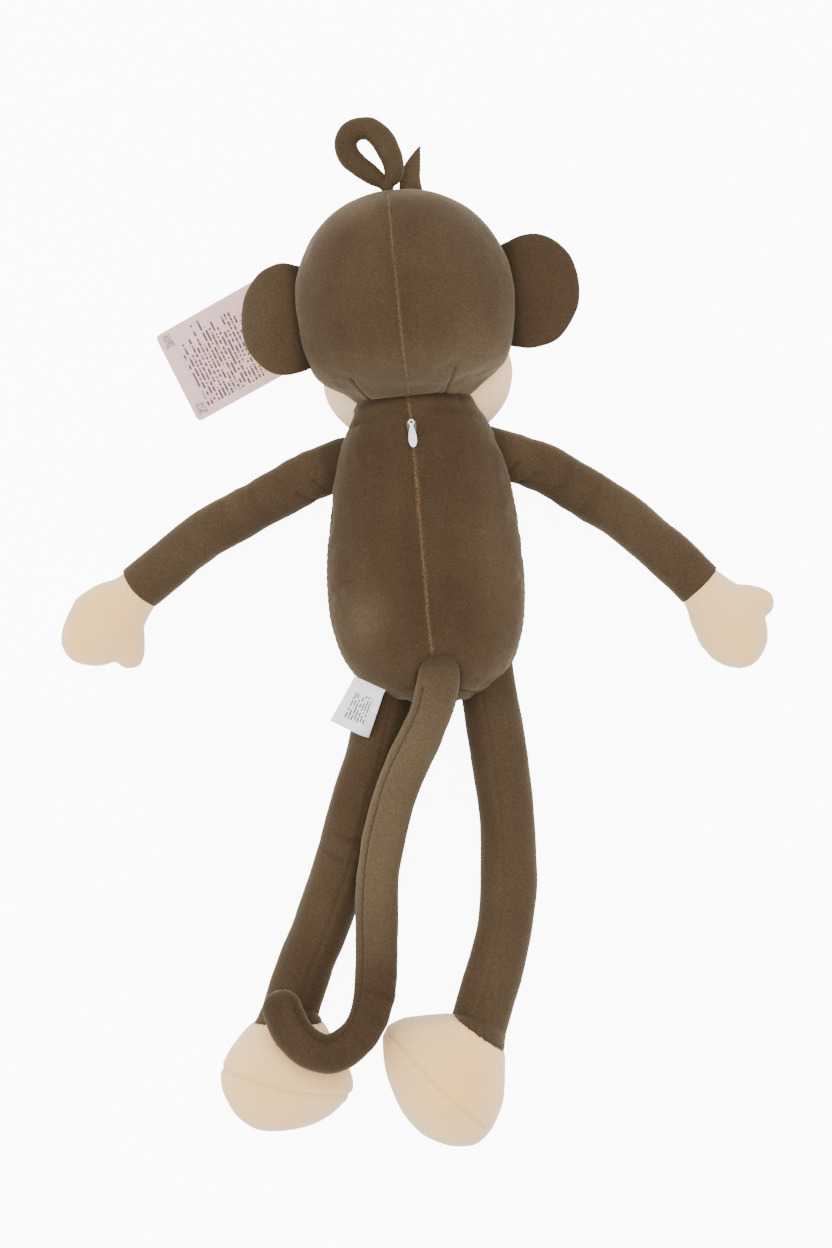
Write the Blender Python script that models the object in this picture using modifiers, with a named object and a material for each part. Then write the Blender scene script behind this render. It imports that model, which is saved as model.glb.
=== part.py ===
"""A stuffed monkey lying on its front: sewn covers, their fillings and the trims.

Metres, +Z up.  The toy lies face down on the plane Z = 0.  +Y points to its head,
+X to its right hand and +Z out of its back.  The origin is the middle of the flat
patch of belly that it lies on.  Every moving piece is parented to an empty that
stands on its joint.
"""

from math import cos, pi, radians, sin, sqrt

import bmesh
import bpy
from mathutils import Matrix, Vector

# ---------------------------------------------------------------- driving sizes
CLOTH = 0.0015
FIT = 0.0004
FILL_INSET = 0.0042
SEAM_HALF_ANGLE = radians(0.7)
ZIP_HALF_ANGLE = radians(2.2)

NECK = Vector((0.0, 0.052, 0.046))
NECK_RADIUS = 0.0455
NECK_CLEARANCE = 0.0007
NECK_FILL_SETBACK = 0.0012
PLUG_RADIUS = 0.016
BACK_HEIGHT = 0.086

# Torso stations below the neck ball: Y, half width, half depth.
TORSO_MIDDLE_Z = 0.045
TORSO_STATIONS = (
    (0.030, 0.0500, 0.0470),
    (0.006, 0.0545, 0.0490),
    (-0.020, 0.0560, 0.0490),
    (-0.042, 0.0540, 0.0475),
    (-0.058, 0.0480, 0.0430),
    (-0.071, 0.0380, 0.0350),
    (-0.081, 0.0240, 0.0230),
    (-0.0868, 0.0040, 0.0040),
)
NECK_STATIONS_Y = (0.0915, 0.086, 0.077, 0.066, 0.052)

HEAD = Vector((0.0021, 0.145, 0.080))
HEAD_HALF = Vector((0.0617, 0.062, 0.058))
HEAD_YAW = radians(-5.0)
MUZZLE = Vector((0.0, 0.106, 0.030))
MUZZLE_HALF = Vector((0.0540, 0.042, 0.031))

SLEEVE_RADIUS = 0.01425
ARM_ROOT_RADIUS = 0.0103
WRIST_BALL = 0.0128
LEG_RADIUS = 0.0163
LEG_ROOT_RADIUS = 0.0108
ANKLE_BALL = 0.0148
TAIL_RADIUS = 0.01225
TAIL_ROOT_RADIUS = 0.0090
CUFF_SETBACK = 0.0078
FILL_SETBACK = 0.0175

# Middle lines, from the sewn root to the far seam.
ARM_ROUTES = {
    "left": (
        (-0.0570, 0.0520, 0.044), (-0.0700, 0.0472, 0.041), (-0.0950, 0.0367, 0.035),
        (-0.1113, 0.0294, 0.030), (-0.1277, 0.0215, 0.026), (-0.1484, 0.0082, 0.0205),
        (-0.1680, -0.0052, 0.0160),
    ),
    "right": (
        (0.0570, 0.0515, 0.044), (0.0690, 0.0460, 0.041), (0.0778, 0.0414, 0.039),
        (0.0959, 0.0287, 0.034), (0.1145, 0.0155, 0.028), (0.1312, 0.0000, 0.023),
        (0.1457, -0.0146, 0.0190), (0.1610, -0.0320, 0.0160),
    ),
}
HAND_MIDDLE_Z = 0.0158
# Hand stations: X, Y, half width, half thickness.
HAND_STATIONS = {
    "left": (
        (-0.1725, -0.0092, 0.0143, 0.0132), (-0.1800, -0.0170, 0.0195, 0.0145),
        (-0.1890, -0.0270, 0.0235, 0.0155), (-0.1960, -0.0340, 0.0230, 0.0155),
        (-0.2030, -0.0405, 0.0172, 0.0135), (-0.2080, -0.0452, 0.0088, 0.0085),
        (-0.2105, -0.0475, 0.0030, 0.0030),
    ),
    "right": (
        (0.1640, -0.0365, 0.0143, 0.0132), (0.1705, -0.0430, 0.0190, 0.0145),
        (0.1775, -0.0525, 0.0240, 0.0155), (0.1785, -0.0620, 0.0220, 0.0155),
        (0.1800, -0.0710, 0.0175, 0.0145), (0.1812, -0.0790, 0.0100, 0.0100),
        (0.1817, -0.0832, 0.0030, 0.0030),
    ),
}
LEG_ROUTES = {
    "left": (
        (-0.0300, -0.0900, 0.038), (-0.0350, -0.1040, 0.0345), (-0.0410, -0.1200, 0.0315),
        (-0.0491, -0.1385, 0.0290), (-0.0586, -0.1668, 0.0265), (-0.0709, -0.1948, 0.0255),
        (-0.0803, -0.2155, 0.0255), (-0.0887, -0.2317, 0.0258), (-0.1014, -0.2613, 0.0270),
    ),
    "right": (
        (0.0325, -0.0900, 0.038), (0.0330, -0.1040, 0.0345), (0.0338, -0.1200, 0.0315),
        (0.0352, -0.1400, 0.0290), (0.0358, -0.1663, 0.0265), (0.0352, -0.1866, 0.0255),
        (0.0317, -0.2067, 0.0255), (0.0257, -0.2353, 0.0258), (0.0080, -0.2790, 0.0270),
    ),
}
FOOT_MIDDLE_Z = 0.0315
FOOT_SOLE_STATION = 3
# Foot stations: X, Y, half width, half height.
FOOT_STATIONS = {
    "left": (
        (-0.1030, -0.2695, 0.0215, 0.0190), (-0.1050, -0.2810, 0.0330, 0.0270),
        (-0.1060, -0.2930, 0.0380, 0.0312), (-0.1060, -0.3040, 0.0370, 0.0310),
        (-0.1055, -0.3150, 0.0280, 0.0245), (-0.1050, -0.3225, 0.0160, 0.0145),
        (-0.1050, -0.3262, 0.0040, 0.0040),
    ),
    "right": (
        (0.0035, -0.2868, 0.0215, 0.0190), (-0.0050, -0.2975, 0.0320, 0.0270),
        (-0.0110, -0.3075, 0.0360, 0.0312), (-0.0145, -0.3180, 0.0350, 0.0310),
        (-0.0170, -0.3295, 0.0280, 0.0255), (-0.0185, -0.3385, 0.0170, 0.0160),
        (-0.0192, -0.3435, 0.0040, 0.0040),
    ),
}
TAIL_ROUTE = (
    (0.0030, -0.0690, 0.0938), (0.0005, -0.0805, 0.0870), (-0.0050, -0.0930, 0.0765),
    (-0.0120, -0.1060, 0.0675), (-0.0200, -0.1200, 0.0600), (-0.0280, -0.1370, 0.0545),
    (-0.0350, -0.1570, 0.0520), (-0.0410, -0.1800, 0.0505), (-0.0450, -0.2070, 0.0520),
    (-0.0465, -0.2320, 0.0560), (-0.0510, -0.2560, 0.0620), (-0.0585, -0.2705, 0.0665),
    (-0.0680, -0.2795, 0.0695), (-0.0790, -0.2835, 0.0710), (-0.0920, -0.2790, 0.0710),
    (-0.1010, -0.2685, 0.0690), (-0.1065, -0.2560, 0.0660),
)

EAR_HALF_HEIGHT = 0.0325
EAR_REACH = {"left": 0.0320, "right": 0.0395}
EAR_MIDDLE_Y = {"left": 0.1400, "right": 0.1440}
EAR_LAYER = 0.0044
SIDES = {"left": -1.0, "right": 1.0}

HAIR_LOOP_RADIUS = 0.0058
HAIR_LOOP_Z = 0.086
HAIR_LOOP_ROUTE = (
    (-0.0085, 0.2140), (-0.0130, 0.2205), (-0.0175, 0.2270), (-0.0206, 0.2340),
    (-0.0190, 0.2395), (-0.0143, 0.2417), (-0.0085, 0.2385), (-0.0040, 0.2320),
    (-0.0005, 0.2240), (0.0035, 0.2130),
)

EYE_RADIUS = 0.0065
EYE_SPREAD = radians(24)
EYE_STATION = 0.30
WASHER_DEPTH = 0.0030
WASHER_RADIUS = 0.0045
MOUTH_RADIUS = 0.0005
NOSE_HALF = Vector((0.011, 0.008, 0.005))

ZIP_TOP_Y = 0.0655
ZIP_BOTTOM_Y = -0.046
SLIDER_Y = 0.0755
PULL_LENGTH = 0.016
PULL_WIDTH = 0.0048

LABEL_WIDTH = 0.025
LABEL_LENGTH = 0.026
TAG_WIDTH = 0.0565
TAG_LENGTH = 0.078
CARD = 0.0006

# Base colour, roughness.
MATERIALS = {
    "brown_velour": ((0.150, 0.096, 0.056), 0.95),
    "cream_velour": ((0.700, 0.575, 0.430), 0.95),
    "filling": ((0.900, 0.890, 0.860), 1.00),
    "black_plastic": ((0.020, 0.018, 0.016), 0.25),
    "white_plastic": ((0.800, 0.800, 0.780), 0.40),
    "dark_thread": ((0.080, 0.045, 0.025), 0.80),
    "white_satin": ((0.780, 0.790, 0.790), 0.45),
    "pink_card": ((0.780, 0.480, 0.500), 0.60),
}


# ---------------------------------------------------------------- scene helpers
def clear_scene():
    for obj in list(bpy.data.objects):
        bpy.data.objects.remove(obj, do_unlink=True)


def new_collection(name, hidden=False):
    collection = bpy.data.collections.new(name)
    bpy.context.scene.collection.children.link(collection)
    collection.hide_render = hidden
    return collection


def make_materials():
    made = {}
    for name, (colour, roughness) in MATERIALS.items():
        material = bpy.data.materials.new(name)
        material.use_nodes = True
        shader = material.node_tree.nodes["Principled BSDF"]
        shader.inputs["Base Color"].default_value = (*colour, 1.0)
        shader.inputs["Roughness"].default_value = roughness
        shader.inputs["Metallic"].default_value = 0.0
        made[name] = material
    return made


def joint(name, place, parent=None):
    """An empty on a joint's axis."""
    empty = bpy.data.objects.new(name, None)
    empty.empty_display_size = 0.01
    PARTS.objects.link(empty)
    empty.location = Vector(place) - (WORLD[parent] if parent else Vector())
    empty.parent = parent
    WORLD[empty] = Vector(place)
    return empty


def piece(name, mesh, material, moves_with=None):
    """An object from a mesh made in world coordinates, hung on its joint's empty."""
    obj = bpy.data.objects.new(name, mesh)
    PARTS.objects.link(obj)
    if moves_with:
        mesh.transform(Matrix.Translation(-WORLD[moves_with]))
        obj.parent = moves_with
    mesh.materials.append(PAINT[material])
    return obj


def cutter(name, mesh):
    obj = bpy.data.objects.new(name, mesh)
    CUTTERS.objects.link(obj)
    obj.hide_render = True
    obj.display_type = "WIRE"
    return obj


def thicken(obj, thickness=CLOTH):
    """Gives an open surface its cloth, inwards."""
    solidify = obj.modifiers.new("cloth", "SOLIDIFY")
    solidify.thickness = thickness
    solidify.offset = -1.0
    solidify.use_even_offset = True
    return obj


def cut(obj, *cutters):
    for tool in cutters:
        boolean = obj.modifiers.new("cut " + tool.name, "BOOLEAN")
        boolean.operation = "DIFFERENCE"
        boolean.solver = "EXACT"
        boolean.object = tool
    return obj


def join(obj, tool):
    boolean = obj.modifiers.new("join " + tool.name, "BOOLEAN")
    boolean.operation = "UNION"
    boolean.solver = "EXACT"
    boolean.object = tool
    return obj


# ---------------------------------------------------------------- shape helpers
class Ring:
    """One oval section: its middle, the two directions in it and its two half sizes."""

    def __init__(self, middle, side, up, half_width, half_height):
        self.middle = Vector(middle)
        self.side = Vector(side)
        self.up = Vector(up)
        self.half_width = half_width
        self.half_height = half_height

    def at(self, angle):
        across = self.side * self.half_width * cos(angle)
        return self.middle + across + self.up * self.half_height * sin(angle)

    def moved(self, along, scale):
        """The ring shifted along its own axis and scaled."""
        axis = self.up.cross(self.side).normalized()
        middle = self.middle + axis * along
        return Ring(middle, self.side, self.up, self.half_width * scale, self.half_height * scale)

    def inset(self, depth):
        width = max(self.half_width - depth, 0.0012)
        height = max(self.half_height - depth, 0.0012)
        return Ring(self.middle, self.side, self.up, width, height)


def between(first, second, share):
    """A ring part of the way from one to the next."""
    return Ring(
        first.middle.lerp(second.middle, share),
        first.side.lerp(second.side, share).normalized(),
        first.up.lerp(second.up, share).normalized(),
        first.half_width + (second.half_width - first.half_width) * share,
        first.half_height + (second.half_height - first.half_height) * share,
    )


def rings_along(points, half_widths, half_heights):
    """Rings square to a middle line, with their side direction kept level."""
    points = [Vector(p) for p in points]
    rings = []
    for i, point in enumerate(points):
        ahead = points[min(i + 1, len(points) - 1)]
        behind = points[max(i - 1, 0)]
        along = (ahead - behind).normalized()
        side = Vector((0, 0, 1)).cross(along).normalized()
        up = along.cross(side)
        rings.append(Ring(point, side, up, half_widths[i], half_heights[i]))
    return rings


def fill_rings(rings):
    """The rings of a filling: set in square to the surface, without the ends too thin for it."""
    inner = []
    for i, ring in enumerate(rings):
        slope = 0.0
        for other in rings[max(i - 1, 0)], rings[min(i + 1, len(rings) - 1)]:
            run = (other.middle - ring.middle).length
            if run > 0:
                rise = max(
                    abs(other.half_width - ring.half_width),
                    abs(other.half_height - ring.half_height),
                )
                slope = max(slope, rise / run)
        depth = FILL_INSET * sqrt(1 + slope * slope)
        if min(ring.half_width, ring.half_height) > depth + 0.002:
            inner.append(ring.inset(depth))
    return inner


def round_start(rings, angles=(60, 35)):
    """Rings added before the first, on a ball about its middle."""
    first = rings[0]
    axis = (rings[1].middle - first.middle).normalized()
    ball = []
    for degrees in angles:
        angle = radians(degrees)
        reach = first.half_height * sin(angle)
        size = cos(angle)
        ball.append(
            Ring(
                first.middle - axis * reach, first.side, first.up,
                first.half_width * size, first.half_height * size,
            )
        )
    return ball + rings


def keep_above_floor(point):
    point.z = max(point.z, 0.0)
    return point


def keep_to_torso(point):
    point.z = min(max(point.z, 0.0), BACK_HEIGHT)
    return point


def skin(name, rings, columns, start=0.0, end=2 * pi, trim=keep_above_floor, closed=False):
    """A grid bent over a row of rings.  With closed, its open ends are filled."""
    grid = bmesh.new()
    bmesh.ops.create_grid(grid, x_segments=len(rings) - 1, y_segments=columns, size=0.5)
    last = len(rings) - 1
    for vertex in grid.verts:
        ring = rings[round((vertex.co.x + 0.5) * last)]
        angle = start + (end - start) * (vertex.co.y + 0.5)
        vertex.co = trim(ring.at(angle))
    bmesh.ops.remove_doubles(grid, verts=grid.verts, dist=1e-6)
    middle = [ring.middle for ring in rings]
    outward = 0.0
    for face in grid.faces:
        face.normal_update()
        centre = face.calc_center_median()
        nearest = min(middle, key=lambda m: (m - centre).length)
        outward += face.normal.dot(centre - nearest) * face.calc_area()
    if outward < 0:
        bmesh.ops.reverse_faces(grid, faces=grid.faces)
    if closed:
        edges = [edge for edge in grid.edges if edge.is_boundary]
        bmesh.ops.holes_fill(grid, edges=edges, sides=0)
        bmesh.ops.recalc_face_normals(grid, faces=grid.faces)
    mesh = bpy.data.meshes.new(name)
    grid.to_mesh(mesh)
    grid.free()
    return mesh


def ball(name, middle, radius, segments=24, rings=12):
    shape = bmesh.new()
    bmesh.ops.create_uvsphere(shape, u_segments=segments, v_segments=rings, radius=radius)
    bmesh.ops.translate(shape, verts=shape.verts, vec=middle)
    mesh = bpy.data.meshes.new(name)
    shape.to_mesh(mesh)
    shape.free()
    return mesh


def rod(name, middle, direction, radius, length, segments=16):
    """A cylinder about its middle, pointing along a direction."""
    shape = bmesh.new()
    bmesh.ops.create_cone(
        shape, cap_ends=True, segments=segments, radius1=radius, radius2=radius, depth=length
    )
    turn = Vector((0, 0, 1)).rotation_difference(Vector(direction)).to_matrix().to_4x4()
    bmesh.ops.transform(shape, verts=shape.verts, matrix=Matrix.Translation(middle) @ turn)
    mesh = bpy.data.meshes.new(name)
    shape.to_mesh(mesh)
    shape.free()
    return mesh


def plate(name, outline, middle_z, thickness):
    """A flat outline in X and Y, made thick."""
    curve = bpy.data.curves.new(name, "CURVE")
    curve.dimensions = "2D"
    curve.fill_mode = "BOTH"
    curve.extrude = thickness / 2
    spline = curve.splines.new("POLY")
    spline.points.add(len(outline) - 1)
    for point, (x, y) in zip(spline.points, outline):
        point.co = (x, y, 0.0, 1.0)
    spline.use_cyclic_u = True
    mesh = mesh_from_curve(curve)
    mesh.transform(Matrix.Translation((0, 0, middle_z)))
    return mesh


def wire(name, points, radius, resolution=2, cyclic=False):
    """A round bar along a line of points, with filled ends."""
    curve = bpy.data.curves.new(name, "CURVE")
    curve.dimensions = "3D"
    curve.bevel_depth = radius
    curve.bevel_resolution = resolution
    curve.use_fill_caps = True
    spline = curve.splines.new("POLY")
    spline.points.add(len(points) - 1)
    for point, place in zip(spline.points, points):
        point.co = (*place, 1.0)
    spline.use_cyclic_u = cyclic
    return mesh_from_curve(curve)


def mesh_from_curve(curve):
    """The curve as a mesh, with its loose caps welded on."""
    helper = bpy.data.objects.new(curve.name + " curve", curve)
    bpy.context.scene.collection.objects.link(helper)
    graph = bpy.context.evaluated_depsgraph_get()
    mesh = bpy.data.meshes.new_from_object(helper.evaluated_get(graph))
    mesh.name = curve.name
    bpy.data.objects.remove(helper, do_unlink=True)
    welded = bmesh.new()
    welded.from_mesh(mesh)
    bmesh.ops.remove_doubles(welded, verts=welded.verts, dist=1e-6)
    bmesh.ops.recalc_face_normals(welded, faces=welded.faces)
    welded.to_mesh(mesh)
    welded.free()
    return mesh


# ---------------------------------------------------------------- torso
def torso_rings():
    rings = []
    for y in NECK_STATIONS_Y:
        radius = sqrt(NECK_RADIUS**2 - (y - NECK.y) ** 2)
        rings.append(Ring((0, y, NECK.z), (1, 0, 0), (0, 0, 1), radius, radius))
    for y, half_width, half_depth in TORSO_STATIONS:
        rings.append(
            Ring((0, y, TORSO_MIDDLE_Z), (1, 0, 0), (0, 0, 1), half_width, half_depth)
        )
    return rings


def make_torso():
    rings = torso_rings()
    edge = SEAM_HALF_ANGLE
    spine = ZIP_HALF_ANGLE
    panels = {
        "torso_back_right": (edge, pi / 2 - spine, 6),
        "torso_back_left": (pi / 2 + spine, pi - edge, 6),
        "torso_front": (pi + edge, 2 * pi - edge, 12),
    }
    for name, (start, end, columns) in panels.items():
        mesh = skin(name, rings, columns, start, end, trim=keep_to_torso)
        thicken(piece(name, mesh, "brown_velour"))

    inner = fill_rings(rings)

    def inside(point):
        point.z = min(max(point.z, FILL_INSET), BACK_HEIGHT - FILL_INSET)
        return point

    mesh = skin("torso_filling", inner, 20, trim=inside, closed=True)
    filling = piece("torso_filling", mesh, "filling")
    pocket = cutter("neck_pocket", neck_plug_mesh("neck_pocket", PLUG_RADIUS + FIT, 0.02))
    cut(filling, pocket)


def neck_plug_mesh(name, radius, extra):
    """A round-bottomed plug about the neck's ball centre, standing along +Y."""
    top = NECK_RADIUS - 0.003 + extra
    profile = [Vector((0, -radius, 0))]
    for degrees in (-60, -30, 0):
        angle = radians(degrees)
        profile.append(Vector((radius * cos(angle), radius * sin(angle), 0)))
    profile.append(Vector((radius, top * 0.9, 0)))
    profile.append(Vector((radius * 0.6, top, 0)))
    profile.append(Vector((0, top, 0)))
    mesh = bpy.data.meshes.new(name)
    mesh.from_pydata(profile, [(i, i + 1) for i in range(len(profile) - 1)], [])
    helper = bpy.data.objects.new(name + " profile", mesh)
    bpy.context.scene.collection.objects.link(helper)
    screw = helper.modifiers.new("turn", "SCREW")
    screw.axis = "Y"
    screw.steps = 16
    screw.render_steps = 16
    screw.use_merge_vertices = True
    screw.merge_threshold = 0.0001
    graph = bpy.context.evaluated_depsgraph_get()
    turned = bpy.data.meshes.new_from_object(helper.evaluated_get(graph))
    turned.name = name
    bpy.data.objects.remove(helper, do_unlink=True)
    closed = bmesh.new()
    closed.from_mesh(turned)
    bmesh.ops.remove_doubles(closed, verts=closed.verts, dist=1e-6)
    bmesh.ops.recalc_face_normals(closed, faces=closed.faces)
    bmesh.ops.translate(closed, verts=closed.verts, vec=NECK)
    closed.to_mesh(turned)
    closed.free()
    return turned


# ---------------------------------------------------------------- zip
def make_zip():
    coil_height = 0.0012
    coil_width = 0.0020
    middle_y = (ZIP_TOP_Y + ZIP_BOTTOM_Y) / 2
    length = ZIP_TOP_Y - ZIP_BOTTOM_Y
    coil_z = BACK_HEIGHT - CLOTH / 2
    box("zip_coil", (0, middle_y, coil_z), (coil_width, length, coil_height), "white_plastic")
    tape_width = 0.0085
    tape_thickness = 0.0008
    tape_z = BACK_HEIGHT - CLOTH - FIT - 0.0005
    for side, sign in SIDES.items():
        middle = (sign * (tape_width / 2 + FIT), middle_y, tape_z)
        box("zip_tape_" + side, middle, (tape_width, length, tape_thickness), "brown_velour")
    stop_length = 0.0030
    stop_middle = (0, ZIP_BOTTOM_Y - FIT - stop_length / 2, coil_z)
    box("zip_bottom_stop", stop_middle, (coil_width, stop_length, coil_height), "white_plastic")

    slide = joint("zip_slide_axis", (0, SLIDER_Y, BACK_HEIGHT))
    slider_width = 0.0056
    slider_length = 0.0075
    slider_height = 0.0022
    slider_z = BACK_HEIGHT + FIT + slider_height / 2
    middle = (0, SLIDER_Y - 0.004, slider_z)
    box("zip_slider", middle, (slider_width, slider_length, slider_height), "white_plastic", slide)
    pull_thickness = 0.0014
    pull_z = BACK_HEIGHT + FIT + slider_height + FIT + pull_thickness / 2
    flip = joint("zip_pull_axis", (0, SLIDER_Y, pull_z), slide)
    outline = []
    for step in range(16):
        angle = 2 * pi * step / 16
        taper = 0.72 + 0.28 * sin(angle)
        x = PULL_WIDTH / 2 * cos(angle) * (1.28 - taper) / 0.56
        outline.append((x, SLIDER_Y + 0.0006 - PULL_LENGTH / 2 + PULL_LENGTH / 2 * sin(angle)))
    piece("zip_pull", plate("zip_pull", outline, pull_z, pull_thickness), "white_plastic", flip)


def box(name, middle, size, material, moves_with=None):
    shape = bmesh.new()
    bmesh.ops.create_cube(shape, size=1.0)
    bmesh.ops.scale(shape, verts=shape.verts, vec=size)
    bmesh.ops.translate(shape, verts=shape.verts, vec=middle)
    mesh = bpy.data.meshes.new(name)
    shape.to_mesh(mesh)
    shape.free()
    return piece(name, mesh, material, moves_with)


# ---------------------------------------------------------------- head
def head_turn():
    return Matrix.Rotation(HEAD_YAW, 3, "Y")


def head_point(local):
    """A point given about the head's own centre, after the head's turn."""
    return HEAD + head_turn() @ Vector(local)


def oval_rings(local_middle, half, tilts, grow=0.0):
    """Rings of an oval ball in the head's frame, from its -Y end to its +Y end."""
    turn = head_turn()
    rings = []
    for degrees in tilts:
        angle = radians(degrees)
        middle = Vector(local_middle) + Vector((0, (half.y + grow) * sin(angle), 0))
        size = cos(angle)
        rings.append(
            Ring(
                head_point(middle), turn @ Vector((1, 0, 0)), turn @ Vector((0, 0, 1)),
                (half.x + grow) * size, (half.z + grow) * size,
            )
        )
    return rings


def make_head(nod):
    tilts = (-86, -70, -55, -40, -25, -10, 10, 25, 40, 55, 70, 86)
    rings = oval_rings((0, 0, 0), HEAD_HALF, tilts)
    neck_ball = cutter("neck_ball", ball("neck_ball", NECK, NECK_RADIUS + NECK_CLEARANCE))
    edge = SEAM_HALF_ANGLE
    panels = {
        "head_back_right": (edge, pi / 2 - edge, 6),
        "head_back_left": (pi / 2 + edge, pi - edge, 6),
        "face_panel": (pi + edge, 2 * pi - edge, 12),
    }
    made = {}
    for name, (start, end, columns) in panels.items():
        colour = "cream_velour" if name == "face_panel" else "brown_velour"
        mesh = skin(name, rings, columns, start, end)
        made[name] = thicken(piece(name, mesh, colour, nod))
        cut(made[name], neck_ball)

    fill = oval_rings((0, 0, 0), HEAD_HALF, tilts, -FILL_INSET)
    filling = piece("head_filling", skin("head_filling", fill, 20, closed=True), "filling", nod)
    soft_ball = ball("soft_neck_ball", NECK, NECK_RADIUS + NECK_CLEARANCE + NECK_FILL_SETBACK)
    soft_neck_ball = cutter("soft_neck_ball", soft_ball)
    cut(filling, soft_neck_ball)

    offset = MUZZLE - Vector((0, HEAD.y, HEAD.z))
    bulge_tilts = (-80, -60, -40, -20, 0, 20, 40, 60, 80)
    bulge = oval_rings(offset, MUZZLE_HALF, bulge_tilts)
    head_block = cutter(
        "head_block",
        skin("head_block", oval_rings((0, 0, 0), HEAD_HALF, tilts, FIT), 24, closed=True),
    )
    mesh = skin("muzzle_panel", bulge, 22)
    muzzle = thicken(piece("muzzle_panel", mesh, "cream_velour", nod))
    cut(muzzle, neck_ball, head_block)
    bulge_fill = oval_rings(offset, MUZZLE_HALF, bulge_tilts, -FILL_INSET)
    fill_floor = Vector((0, 0, FILL_INSET))

    def above_panel(point):
        point.z = max(point.z, fill_floor.z)
        return point

    mesh = skin("muzzle_filling", bulge_fill, 18, trim=above_panel, closed=True)
    cut(piece("muzzle_filling", mesh, "filling", nod), soft_neck_ball, head_block)
    make_eyes(nod, made["face_panel"])
    make_nose(nod, muzzle, offset)
    make_mouth(nod, offset)


def on_oval(offset, half, across, along, lift=0.0):
    """The point on the front of an oval ball at two angles, and its outward direction."""
    local = Vector((sin(across) * cos(along), sin(along), -cos(across) * cos(along)))
    place = Vector(offset) + Vector([local[i] * half[i] for i in range(3)])
    outward = Vector([local[i] / half[i] for i in range(3)]).normalized()
    turn = head_turn()
    return head_point(place + outward * lift), turn @ outward


def make_eyes(nod, face):
    for side, sign in SIDES.items():
        place, outward = on_oval((0, 0, 0), HEAD_HALF, sign * EYE_SPREAD, EYE_STATION)
        hole = cutter("eye_hole_" + side, rod("eye_hole_" + side, place, outward, 0.0021, 0.012))
        cut(face, hole)
        dome = ball("eye_" + side, place + outward * 0.0030, EYE_RADIUS, 16, 8)
        flatten_below(dome, place + outward * 0.0009, outward)
        eye = piece("eye_" + side, dome, "black_plastic", nod)
        shank = rod("eye_shank_" + side, place - outward * 0.0004, outward, 0.0015, 0.0060)
        join(eye, cutter("eye_shank_" + side, shank))
        washer_middle = place - outward * WASHER_DEPTH
        washer = rod("eye_washer_" + side, washer_middle, outward, WASHER_RADIUS, 0.0008)
        washer = piece("eye_washer_" + side, washer, "white_plastic", nod)
        bore = rod("eye_washer_bore_" + side, washer_middle, outward, 0.0019, 0.004)
        cut(washer, cutter("eye_washer_bore_" + side, bore))


def flatten_below(mesh, point, normal):
    """Cuts a ball's mesh flat on one side and closes it."""
    shape = bmesh.new()
    shape.from_mesh(mesh)
    everything = shape.verts[:] + shape.edges[:] + shape.faces[:]
    bmesh.ops.bisect_plane(shape, geom=everything, plane_co=point, plane_no=normal, clear_inner=True)
    edges = [edge for edge in shape.edges if edge.is_boundary]
    bmesh.ops.holes_fill(shape, edges=edges, sides=0)
    bmesh.ops.recalc_face_normals(shape, faces=shape.faces)
    shape.to_mesh(mesh)
    shape.free()


def make_nose(nod, muzzle, offset):
    place, outward = on_oval(offset, MUZZLE_HALF, 0.0, 0.75)
    hole = rod("nose_hole", place, outward, 0.0021, 0.012)
    cut(muzzle, cutter("nose_hole", hole))
    dome = ball("nose", Vector(), 1.0, 16, 8)
    turn = Vector((0, 0, 1)).rotation_difference(outward).to_matrix().to_4x4()
    scale = Matrix.Diagonal((*NOSE_HALF, 1.0))
    dome.transform(Matrix.Translation(place + outward * 0.0012) @ turn @ scale)
    flatten_below(dome, place + outward * 0.0011, outward)
    nose = piece("nose", dome, "black_plastic", nod)
    shank = rod("nose_shank", place - outward * 0.0004, outward, 0.0015, 0.0060)
    join(nose, cutter("nose_shank", shank))
    washer_middle = place - outward * WASHER_DEPTH
    washer = rod("nose_washer", washer_middle, outward, WASHER_RADIUS, 0.0008)
    washer = piece("nose_washer", washer, "white_plastic", nod)
    bore = rod("nose_washer_bore", washer_middle, outward, 0.0019, 0.004)
    cut(washer, cutter("nose_washer_bore", bore))


def make_mouth(nod, offset):
    line = []
    for step in range(-6, 7):
        across = radians(6.5 * step)
        along = -0.52 + 0.012 * step * step
        line.append(on_oval(offset, MUZZLE_HALF, across, along, 2 * MOUTH_RADIUS)[0])
    piece("mouth_thread", wire("mouth_thread", line, MOUTH_RADIUS, 1), "dark_thread", nod)


# ---------------------------------------------------------------- ears, hair
def head_half_width(y):
    share = (y - HEAD.y) / HEAD_HALF.y
    return HEAD_HALF.x * sqrt(max(0.0, 1.0 - share * share))


def ear_outline(side, margin):
    """A flat D: its curved edge outside, its root edge along the head."""
    sign = SIDES[side]
    middle = EAR_MIDDLE_Y[side]
    half = EAR_HALF_HEIGHT - margin
    root = HEAD_HALF.x - 0.006
    reach = EAR_REACH[side] + 0.006 - margin
    outer = []
    for step in range(11):
        angle = pi * step / 10
        outer.append((root + reach * sin(angle) ** 0.8, middle + half * cos(angle)))
    inner = []
    for step in range(1, 8):
        y = middle - half + 2 * half * step / 8
        inner.append((head_half_width(y) + 0.0022, y))
    kept = [(max(x, head_half_width(y) + 0.0022), y) for x, y in outer]
    return [(HEAD.x + sign * x, y) for x, y in kept + inner]


def make_ear(side, nod):
    sign = SIDES[side]
    root_x = HEAD.x + sign * (HEAD_HALF.x + 0.0025)
    fold = joint("ear_%s_fold_axis" % side, (root_x, EAR_MIDDLE_Y[side], HEAD.z), nod)
    layers = {"back": (1, 0.0, "brown_velour"), "front": (-1, 0.0008, "cream_velour")}
    for layer, (above, margin, colour) in layers.items():
        name = "ear_%s_%s" % (side, layer)
        middle_z = HEAD.z + above * (EAR_LAYER + FIT) / 2
        piece(name, plate(name, ear_outline(side, margin), middle_z, EAR_LAYER), colour, fold)


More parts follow.
